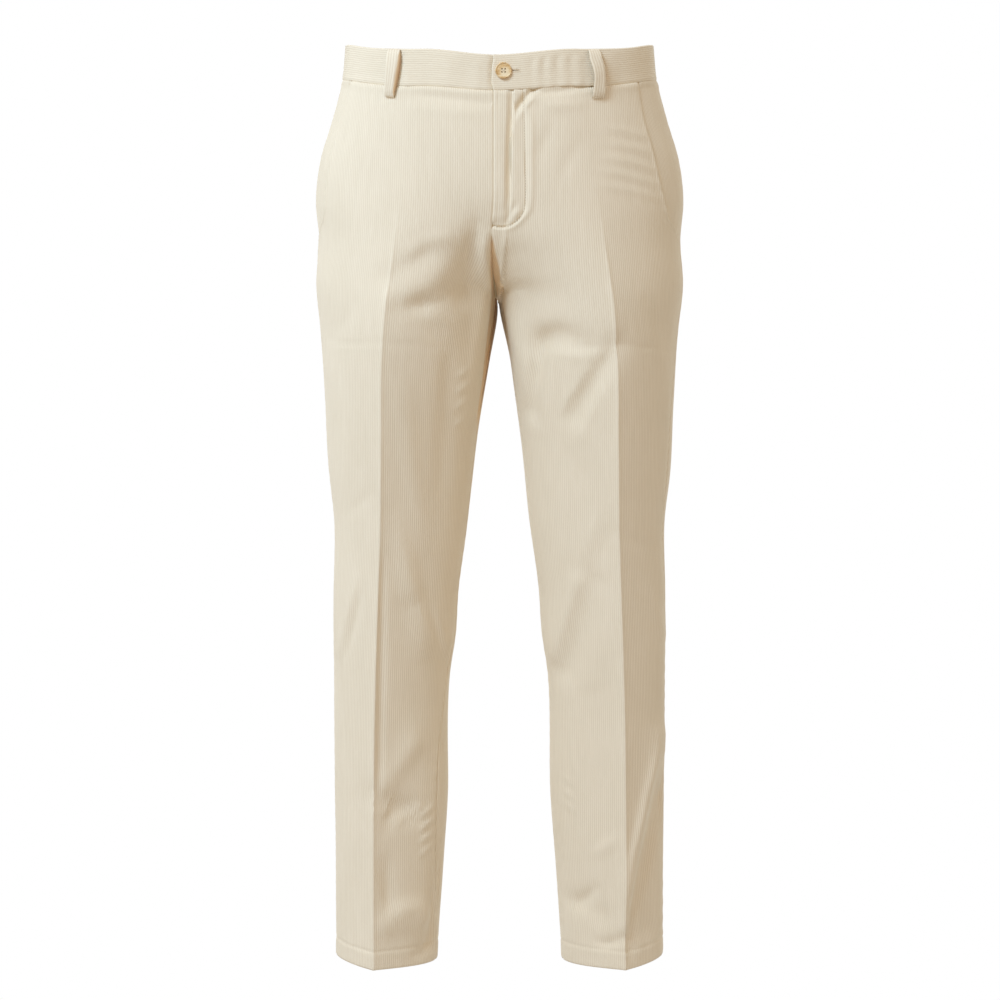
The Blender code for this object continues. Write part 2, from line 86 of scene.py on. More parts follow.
# Front half: centre front or inseam, with the way that the cloth leaves it, then the crease
# with its slopes towards the inside and the outside
FRONT = columns("depth edge_x edge_y edge_z turn crease_x crease_y crease_z inward outward", [
    (0, 0, -110, -26, 90, 90, -97, -18, -17, 17),
    (44, 0, -111.5, -66, 90, 92, -99, -60, -17, 17),
    (90, 0, -116, -108, 90, 98, -103, -104, -18, 18),
    (135, 0, -117.5, -152, 90, 105, -105, -147, -18, 19),
    (181, 0, -113, -196, 88, 112, -107, -190, -18, 21),
    (228, 0, -93, -241, 72, 118, -110, -235, -14, 24),
    (262, 0.5, -53, -273, 40, 123, -113, -269, -6, 27),
    (300, 3.2, -2, -296, 10, 128, -115, -304, 3, 30),
    (370, 14.3, -6, -372, 10, 133, -112, -372, 14, 33),
    (460, 27.5, -6, -460, 12, 134.5, -103, -461, 22, 36),
    (556, 37.5, -5, -556, 12, 136, -92, -557, 26, 38),
    (640, 48.5, -4, -640, 12, 139, -84, -642, 28, 40),
    (690, 52, -3, -690, 12, 141, -80, -692, 29, 41),
    (730, 58, -2, -730, 12, 142.5, -77, -732, 30, 42),
    (880, 61.8, 2, -880, 12, 145.5, -68, -883, 31, 43),
    (980, 69, 4, -980, 12, 146, -65, -984, 29, 43),
    (1068, 75, 5, -1076, 12, 146, -64, -1074, 24, 43),
])

# Back half: the crease, then centre back or the inseam with the way that the cloth meets it
BACK = columns("depth crease_x crease_y crease_z outward inward edge_y edge_z turn", [
    (0, 84, 101, 1, 14, -14, 115, 2, -90),
    (44, 86, 104, -43, 13, -13, 118, -42, -90),
    (90, 92, 123, -97, 10, -10, 134, -107, -90),
    (135, 96, 134, -150, 8, -8, 143, -171, -90),
    (181, 97, 138, -203, 8, -8, 136, -231, -88),
    (228, 96, 136, -250, 10, -8, 104, -277, -68),
    (262, 94, 131, -282, 13, -4, 54, -300, -30),
    (300, 91, 123, -312, 17, 4, -2, -296, 10),
    (370, 89, 107, -374, 22, 14, -6, -372, 10),
    (460, 92, 88, -461, 26, 24, -6, -460, 12),
    (556, 97, 73, -556, 28, 32, -5, -556, 12),
    (640, 103, 67, -640, 30, 37, -4, -640, 12),
    (690, 105, 68, -690, 30, 39, -3, -690, 12),
    (730, 108, 71, -730, 31, 40, -2, -730, 12),
    (880, 113, 74, -879, 31, 42, 2, -880, 12),
    (980, 118, 70, -978, 31, 43, 4, -980, 12),
    (1068, 120, 66, -1064, 31, 43, 5, -1076, 12),
])

# X of the rise seam in front and behind, because the trunk stands a little turned
DRIFT = columns("depth front back", [
    (0, -5, 2), (100, -6, 2), (200, -8.5, 0.5), (235, -9, -1), (262, -7, -2.5), (300, -2, -2),
    (350, 0.5, 0.5), (400, 0, 0), (1068, 0, 0),
])

# Seams of the wearer's right leg and left leg, as distance forward of the ring's widest points
SEAMS = columns("depth right_in right_out left_in left_out", [
    (44, 0, -8, 0, 8), (240, 0, -8, 0, 12), (340, 0, -6, 0, 22), (430, 0, -4, 0, 28),
    (520, 0, -4, 0, 25), (600, 0, -4, 0, 15), (700, 2, -3, -2, 7), (860, 26, -3, -4, 3),
    (930, 23, -3, -4, 2), (1010, 12, 0, -2, 0), (1068, 5, 0, 0, 0),
])

# Pocket mouths in front view, as X of the edge on the wearer's right and on the left
MOUTHS = columns("depth right left", [
    (44, 170, 158), (90, 184, 166), (125, 193, 176), (165, 200, 185), (200, 204, 194),
    (230, 207, 203), (252, 210, 209),
])

# The largest soft folds of the front, from one end to the other in front view:
# height is out of the cloth, and a trough's is negative
FOLDS = [
    (-25, -222, -46, -290, 15, -3.5), (-126, -277, -84, -246, 16, -3),
    (-112, -310, -46, -296, 14, -4), (-96, -652, -58, -730, 14, -3),
    (-142, -868, -104, -892, 14, -3.5), (-136, -864, -100, -815, 12, 2.5),
    (-130, -1024, -90, -1022, 12, 2.5), (50, -346, 96, -352, 16, -4),
    (130, -352, 88, -430, 15, -4.5), (47, -352, 36, -424, 14, -3.5),
    (108, -625, 76, -728, 14, -3.5), (88, -625, 64, -712, 12, 2.5),
    (186, -806, 150, -1020, 13, 3), (190, -880, 172, -1030, 13, -3.5),
    (86, -1000, 120, -1012, 12, -2.5),
]


def along(table, name, depth):
    """A smooth curve through one column, with slopes that are means of the slopes beside."""
    knots, values = table["depth"], table[name]
    steps = np.diff(knots)
    slopes = np.diff(values) / steps
    middle = (slopes[:-1] * steps[1:] + slopes[1:] * steps[:-1]) / (steps[:-1] + steps[1:])
    tangents = np.concatenate([slopes[:1], middle, slopes[-1:]])
    i = np.clip(np.searchsorted(knots, depth, side="right") - 1, 0, len(steps) - 1)
    t = (depth - knots[i]) / steps[i]
    return (
        values[i] * (1 + 2 * t) * (1 - t) ** 2
        + tangents[i] * steps[i] * t * (1 - t) ** 2
        + values[i + 1] * t * t * (3 - 2 * t)
        + tangents[i + 1] * steps[i] * t * t * (t - 1)
    )


def stacked(*parts):
    """Arrays side by side on a new last axis, each spread to the shape of all."""
    return np.stack(np.broadcast_arrays(*parts), axis=-1).astype(float)


def heading(degrees):
    """The level direction at this angle from +X towards +Y."""
    angle = np.radians(degrees)
    return stacked(np.cos(angle), np.sin(angle), 0.0)


def arc(start, start_way, end, end_way):
    """Cubic curves from start to end, with the handles that a round arc would have."""
    bend = np.arccos(np.clip((start_way * end_way).sum(-1), -1, 0.9999))
    chord = np.linalg.norm((end - start)[..., :2], axis=-1)
    handle = (chord * np.tan(bend / 4) / np.sin(bend / 2) * 2 / 3)[..., None]
    t = np.linspace(0, 1, ARC_STEPS + 1)[:, None]
    corners = (start, start + handle * start_way, end - handle * end_way, end)
    weights = ((1 - t) ** 3, 3 * t * (1 - t) ** 2, 3 * t * t * (1 - t), t**3)
    return sum(w * corner[:, None, :] for w, corner in zip(weights, corners))


def fold_height(flat):
    """Height of the folds at front-view points: each is its rise times a bell curve of the
    distance to its line, so its ends are rounded off."""
    height = np.zeros(flat.shape[:-1])
    for x0, z0, x1, z1, width, rise in FOLDS:
        start, run = np.array([x0, z0]), np.array([x1 - x0, z1 - z0])
        t = np.clip((flat - start) @ run / (run @ run), 0, 1)
        off = np.linalg.norm(flat - start - t[..., None] * run, axis=-1)
        height += rise * np.exp(-((off / width) ** 2))
    return height


def normals_of(points):
    """Outward normals of a grid whose rows run down and whose columns run front to back."""
    normal = np.cross(np.gradient(points, axis=1), -np.gradient(points, axis=0))
    return normal / np.linalg.norm(normal, axis=-1, keepdims=True)


class Half:
    """One half of the garment, on its own side of the middle, as rings cut at some depths.

    Each ring is four arcs, from the centre front or the inseam over the front crease, the
    side and the back crease to the centre back or the inseam. side is -1 on the wearer's
    right. X is counted outwards. Lengths along a ring start at its front edge.
    """

    def __init__(self, side, depths):
        self.side, self.depths = side, depths
        self.hand = "left" if side > 0 else "right"

        def of(table, *names):
            return [along(table, name, depths) for name in names]

        edge_x, edge_y, edge_z, turn, inward, outward = of(
            FRONT, "edge_x", "edge_y", "edge_z", "turn", "inward", "outward",
        )
        drift_front, drift_back = of(DRIFT, "front", "back")
        front_edge = stacked(side * drift_front + edge_x, edge_y, edge_z)
        front_crease = stacked(*of(FRONT, "crease_x", "crease_y", "crease_z"))
        widest = stacked(*of(SIDE, "x", "y"), -depths)
        back_crease = stacked(*of(BACK, "crease_x", "crease_y", "crease_z"))
        seat_seam = stacked(side * drift_back + edge_x, *of(BACK, "edge_y", "edge_z"))
        back_edge = np.where(depths[:, None] < FORK_DEPTH, seat_seam, front_edge)
        back_outward, back_inward, back_turn = of(BACK, "outward", "inward", "turn")
        backwards = heading(90 + 0 * depths)
        arcs = (
            arc(front_edge, heading(turn - 90), front_crease, heading(-inward)),
            arc(front_crease, heading(outward), widest, backwards),
            arc(widest, backwards, back_crease, heading(180 - back_outward)),
            arc(back_crease, heading(180 + back_inward), back_edge, heading(back_turn - 90)),
        )
        points = np.concatenate([arcs[0]] + [part[:, 1:] for part in arcs[1:]], axis=1)
        step = np.arange(points.shape[1])
        front = np.clip(np.minimum(step, 2 * ARC_STEPS - step) / FOLD_FADE, 0, 1)
        height = fold_height(points[..., [0, 2]] * (side, 1)) * front
        self.points = self.with_overrun(points + height[..., None] * normals_of(points))
        self.normals = normals_of(self.points)
        steps = np.linalg.norm(np.diff(self.points, axis=1), axis=-1)
        lengths = np.concatenate([np.zeros((len(depths), 1)), np.cumsum(steps, axis=1)], axis=1)
        self.lengths = lengths - lengths[:, OVERRUN_STEPS, None]
        marks = OVERRUN_STEPS + ARC_STEPS * np.arange(1, 5)
        self.crease, self.widest, self.back_crease, self.back = self.lengths[:, marks].T

    def with_overrun(self, points):
        """Adds the cloth beyond both edges: mirrored on the trunk, round the leg below."""
        near_front = points[:, 1 : OVERRUN_STEPS + 1]
        near_back = points[:, -OVERRUN_STEPS - 1 : -1]
        before, after = (
            near[:, ::-1] * (-1, 1, 1) + points[:, edge] * (2, 0, 0)
            for near, edge in ((near_front, slice(0, 1)), (near_back, slice(-1, None)))
        )
        trunk = (self.depths < FORK_DEPTH)[:, None, None]
        before, after = np.where(trunk, before, near_back), np.where(trunk, after, near_front)
        return np.concatenate([before, points, after], axis=1)

    def read(self, values, lengths, rings=slice(None)):
        """Points or normals at these lengths along the rings, a row of lengths for each ring."""
        return np.array([
            np.stack([np.interp(s, known, row[:, axis]) for axis in range(3)], axis=-1)
            for s, known, row in zip(lengths, self.lengths[rings], values[rings])
        ])

    def surface(self, lengths):
        """Points and normals at these lengths."""
        return self.read(self.points, lengths), self.read(self.normals, lengths)

    def at(self, lengths, lift):
        """World points in metres at these lengths, moved out by lift."""
        points, normals = self.surface(lengths)
        lift = np.broadcast_to(lift, lengths.shape)[..., None]
        return (points + lift * normals) * (self.side, 1, 1) * MM

    def seam(self, end):
        """Length at the inseam's or outseam's place, from the table of seams."""
        return along(SEAMS, f"{self.hand}_{end}", np.clip(self.depths, BAND_DEPTH, OUTSEAM))

    def length_at_x(self, x):
        """Length where the front half of each ring reaches this far from the middle."""
        first, last = OVERRUN_STEPS // 2, OVERRUN_STEPS + 2 * ARC_STEPS
        backwards = self.points[:, first:last, 0][:, ::-1]
        outwards = np.minimum.accumulate(backwards, axis=1)[:, ::-1]
        x = np.broadcast_to(x, len(self.depths))
        return np.array([
            np.interp(*row) for row in zip(x, outwards, self.lengths[:, first:last])
        ])


def smooth(t):
    """An even step from 0 to 1 with level ends."""
    t = np.clip(t, 0, 1)
    return t * t * (3 - 2 * t)


def bell(distance, width):
    """1 at no distance, falling as the exponential of minus its square over the width's."""
    return np.exp(-((distance / width) ** 2))


def between(start, end, parts):
    """Lengths from each row's start to its end, at these parts of the way."""
    return start[:, None] + (end - start)[:, None] * parts


# One rib of the corduroy: the lines that carry it, as parts of a wale, and their heights
WALE = 2.6
RIB_RISE = 0.34
RIB_LINES = np.array([0.24, 0.5, 0.76])
RIB_HEIGHTS = np.array([0.95, 0.0, 0.95])
RIB_FADE = 1.4
FORK_SEAM_DIP, SEAM_DIP, DEEP_SEAM_DIP = 0.4, 0.5, 0.9
SEAM_DIP_WIDTH = 1.6


def ribbed(start, end, origin, stretch):
    """Lines of the ribs down a piece: each lies a fixed distance from the origin line, times
    the row's stretch, and is held within the piece's edges. Gives the lengths, each line's
    height, and the first and last line that each row keeps."""
    least = int(np.floor(((start - origin) / stretch).min() / WALE)) - 1
    most = int(np.ceil(((end - origin) / stretch).max() / WALE)) + 1
    whole = np.arange(least, most + 1)
    across = (whole[:, None] + RIB_LINES).ravel() * WALE
    rises = np.tile(RIB_HEIGHTS, len(whole)) * RIB_RISE
    free = origin[:, None] + across * stretch[:, None]
    first = (free < start[:, None]).sum(1) - 1
    last = (free <= end[:, None]).sum(1)
    return np.clip(free, start[:, None], end[:, None]), rises, first, last


def two_triangles(a, b, c, d):
    """Each four-cornered cell as two triangles."""
    return np.concatenate([np.stack([a, b, c], -1), np.stack([a, c, d], -1)]).reshape(-1, 3)


def zipped(near, far):
    """Triangles between two rows of corners, taken in turn by the middles of their steps."""
    near_at, far_at = np.linspace(0, 1, len(near)), np.linspace(0, 1, len(far))
    near_middle = (near_at[1:] + near_at[:-1]) / 2
    far_middle = (far_at[1:] + far_at[:-1]) / 2
    across = far[np.searchsorted(far_middle, near_middle, side="left")]
    back = near[np.searchsorted(near_middle, far_middle, side="right")]
    return np.concatenate([
        np.stack([near[:-1], near[1:], across], axis=-1),
        np.stack([far[1:], far[:-1], back], axis=-1),
    ])


def cloth_shell(name, grids, maps, flip, kept=None, folded=None):
    """A closed thin shell between an outer grid and a coarser inner grid with as many rows.

    Where kept gives each row's first and last line, outer lines beyond them fall together on
    the edge, and cells that have closed up are left out. The four rims are sewn up between
    the grids. The UV map holds the distance across the ribs and along them in metres, and
    reverse is 1 on the inside. The outer grid's folded values, from 0 to 1, are painted
    shade: they darken and warm its colour where it lies deep in a fold or a recess.
    """
    outer, inner = grids
    rows, width = outer.shape[:2]
    first, last = kept or (np.zeros(rows, int), np.full(rows, width - 1))
    line = np.clip(np.arange(width), first[:, None], last[:, None])
    face = np.arange(rows)[:, None] * width + line
    lining = rows * width + np.arange(rows * inner.shape[1]).reshape(rows, -1)
    left, right = face[:, 0], face[:, -1]
    triangles = [
        two_triangles(face[:-1, :-1], face[1:, :-1], face[1:, 1:], face[:-1, 1:]),
        two_triangles(lining[:-1, 1:], lining[1:, 1:], lining[1:, :-1], lining[:-1, :-1]),
        two_triangles(lining[:-1, 0], lining[1:, 0], left[1:], left[:-1]),
        two_triangles(right[:-1], right[1:], lining[1:, -1], lining[:-1, -1]),
    ]
    for row, turn in ((0, 1), (-1, -1)):
        kept = slice(first[row], last[row] + 1)
        triangles.append(zipped(face[row, kept], lining[row])[:, ::turn])
    triangles = np.concatenate(triangles)
    a, b, c = triangles.T
    triangles = triangles[(a != b) & (b != c) & (c != a)][:, :: -1 if flip else 1]
    used, corner = np.unique(triangles, return_inverse=True)
    corner = corner.reshape(-1)
    points = np.concatenate([grid.reshape(-1, 3) for grid in grids])[used]
    uv = np.concatenate([place.reshape(-1, 2) for place in maps])[used]
    mesh = bpy.data.meshes.new(name)
    mesh.from_pydata(points.tolist(), [], corner.reshape(-1, 3).tolist())
    layer = mesh.uv_layers.new(name="ribs")
    layer.data.foreach_set("uv", (uv[corner] * MM).ravel().astype(np.float32))
    marks = {"reverse": used >= rows * width}
    # Painted shade: folded tells how much the colour is darkened where the cloth lies deep
    if folded is not None:
        marks["folded"] = np.concatenate([folded.ravel(), np.zeros(lining.size)])[used]
    for mark, values in marks.items():
        layer = mesh.attributes.new(mark, "FLOAT", "POINT")
        layer.data.foreach_set("value", values.astype(np.float32))
    mesh.shade_smooth()
    mesh.set_sharp_from_angle(angle=np.radians(80))
    return mesh


def feed(tree, node, inputs):
    """Links each named or numbered input of the node to a socket, or sets it to a value."""
    for name, value in inputs.items():
        if isinstance(value, bpy.types.NodeSocket):
            tree.links.new(value, node.inputs[name])
        else:
            node.inputs[name].default_value = value


def add(tree, kind, inputs, **settings):
    """A new shader node with its settings and inputs. Gives its outputs."""
    node = tree.nodes.new("ShaderNode" + kind)
    for name, value in settings.items():
        setattr(node, name, value)
    feed(tree, node, inputs)
    return node.outputs


def ramp(tree, value, first, *middle, last):
    """A colour ramp at the value, through pairs of a place and a colour."""
    node = tree.nodes.new("ShaderNodeValToRGB")
    stops = node.color_ramp.elements
    for stop, (place, colour) in ((stops[0], first), (stops[1], last)):
        stop.position, stop.color = place, (*colour, 1)
    for place, colour in middle:
        stops.new(place).color = (*colour, 1)
    feed(tree, node, {"Fac": value})
    return node.outputs["Color"]


def corduroy_group():
    """Colour, roughness and height of corduroy from the UV map: painted shade in the grooves
    and in folds, deeper colour on the woven back, streaks along single ribs, brushed patches,
    short pile."""
    group = bpy.data.node_groups.new("corduroy", "ShaderNodeTree")
    for names, kind, way in (
        (("Pile", "GrooveShade", "Back"), "NodeSocketColor", "INPUT"),
        (("Streak", "Mottle"), "NodeSocketFloat", "INPUT"),
        (("Color",), "NodeSocketColor", "OUTPUT"),
        (("Roughness", "Height"), "NodeSocketFloat", "OUTPUT"),
    ):
        for name in names:
            group.interface.new_socket(name, in_out=way, socket_type=kind)
    given = group.nodes.new("NodeGroupInput").outputs

    def math(operation, a, b=0.0, clamp=False):
        return add(group, "Math", {0: a, 1: b}, operation=operation, use_clamp=clamp)[0]

    def noise(vector, detail):
        return add(group, "TexNoise", {"Vector": vector, "Scale": 1.0, "Detail": detail})["Fac"]

    def stretched(vector, scale):
        return add(group, "VectorMath", {0: vector, 1: scale}, operation="MULTIPLY")[0]

    def blend(kind, amount, a, b):
        return add(group, "Mix", {0: amount, 6: a, 7: b}, data_type="RGBA", blend_type=kind)[2]

    uv = add(group, "UVMap", {}, uv_map="ribs")[0]
    place = add(group, "TexCoord", {})["Object"]
    split = add(group, "SeparateXYZ", {0: uv})
    across = math("DIVIDE", split[0], WALE * MM)
    # Painted shade: groove rises to 1 towards the bottom of each groove between the ribs, where
    # the colour is darkened
    from_crest = math("PINGPONG", math("ADD", across, 64.0), 0.5)
    groove = math("MULTIPLY", math("SUBTRACT", from_crest, 0.33), 6.0, clamp=True)
    inside = add(group, "Attribute", {}, attribute_name="reverse")["Fac"]
    outside = math("SUBTRACT", 1.0, inside)

    rib = math("FLOOR", math("ADD", across, 64.5))
    strand = add(group, "CombineXYZ", {
        0: math("MULTIPLY", rib, 7.31), 1: math("MULTIPLY", split[1], 26.0),
    })
    streak = math("SUBTRACT", noise(strand[0], 2.0), 0.5)
    brushed = math("SUBTRACT", noise(stretched(place, (18.0, 18.0, 9.0)), 3.0), 0.5)
    tuft = noise(stretched(uv, (900.0, 2300.0, 1.0)), 2.0)
    weave = noise(stretched(uv, (1500.0, 1500.0, 1.0)), 1.0)

    colour = blend("MIX", math("MULTIPLY", groove, outside), given["Pile"], given["GrooveShade"])
    colour = blend("MIX", inside, colour, given["Back"])
    # Painted shade: where folded is high the colour is darkened and warmed towards brown
    folded = add(group, "Attribute", {}, attribute_name="folded")["Fac"]
    shadow = ramp(group, folded, (0, (1, 1, 1)), (0.4, (1.0, 0.86, 0.70)),
                  last=(1, (0.55, 0.36, 0.25)))
    colour = blend("MULTIPLY", 1.0, colour, shadow)
    worn = math("ADD", math("MULTIPLY", streak, given["Streak"]),
                math("MULTIPLY", brushed, given["Mottle"]))
    worn = math("ADD", worn, math("MULTIPLY", math("SUBTRACT", tuft, 0.5), 0.12))
    shade = math("ADD", worn, 1.0)
    warmed = enumerate((0.9, 1.0, 1.25))
    grey = add(group, "CombineColor", {n: math("POWER", shade, power) for n, power in warmed})
    feed(group, group.nodes.new("NodeGroupOutput"), {
        "Color": blend("MULTIPLY", 1.0, colour, grey[0]),
        "Roughness": math("ADD", 0.86, math("MULTIPLY", tuft, 0.12)),
        "Height": math("ADD", math("MULTIPLY", tuft, outside), math("MULTIPLY", weave, inside)),
    })
    return group


def new_finish(name):
    """A new material, with its nodes and its shader."""
    made = bpy.data.materials.new(name)
    made.use_nodes = True
    return made, made.node_tree, made.node_tree.nodes["Principled BSDF"]


def corduroy(name, streak, mottle):
    """Cream corduroy with its own strength of streaks and brushed patches."""
    made, tree, shader = new_finish(name)
    # The groove colour is painted shade, darker than the pile, for the bottoms of the grooves
    cloth = add(tree, "Group", {
        "Pile": (0.850, 0.745, 0.575, 1), "GrooveShade": (0.700, 0.575, 0.410, 1),
        "Back": (0.700, 0.600, 0.440, 1), "Streak": streak, "Mottle": mottle,
    }, node_tree=CORDUROY_GROUP)
    bump = add(tree, "Bump", {"Strength": 0.6, "Distance": 0.00025, "Height": cloth["Height"]})
    feed(tree, shader, {
        "Base Color": cloth["Color"], "Roughness": cloth["Roughness"], "Normal": bump["Normal"],
        "Sheen Weight": 0.25, "Sheen Roughness": 0.4, "Sheen Tint": (1.0, 0.95, 0.86, 1),
        "Specular IOR Level": 0.2,
    })
    return made


def shown(name, data):
    """A new object in the scene."""
    made = bpy.data.objects.new(name, data)
    bpy.context.scene.collection.objects.link(made)
    return made


def placed(name, mesh, finish):
    """A new piece, in its own finish, hung under the root body."""
    mesh.materials.append(finish)
    made = shown(name, mesh)
    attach(made, "root")
    return made


CORDUROY_GROUP = corduroy_group()
LEG_CLOTH = corduroy("leg_corduroy", streak=0.10, mottle=0.10)

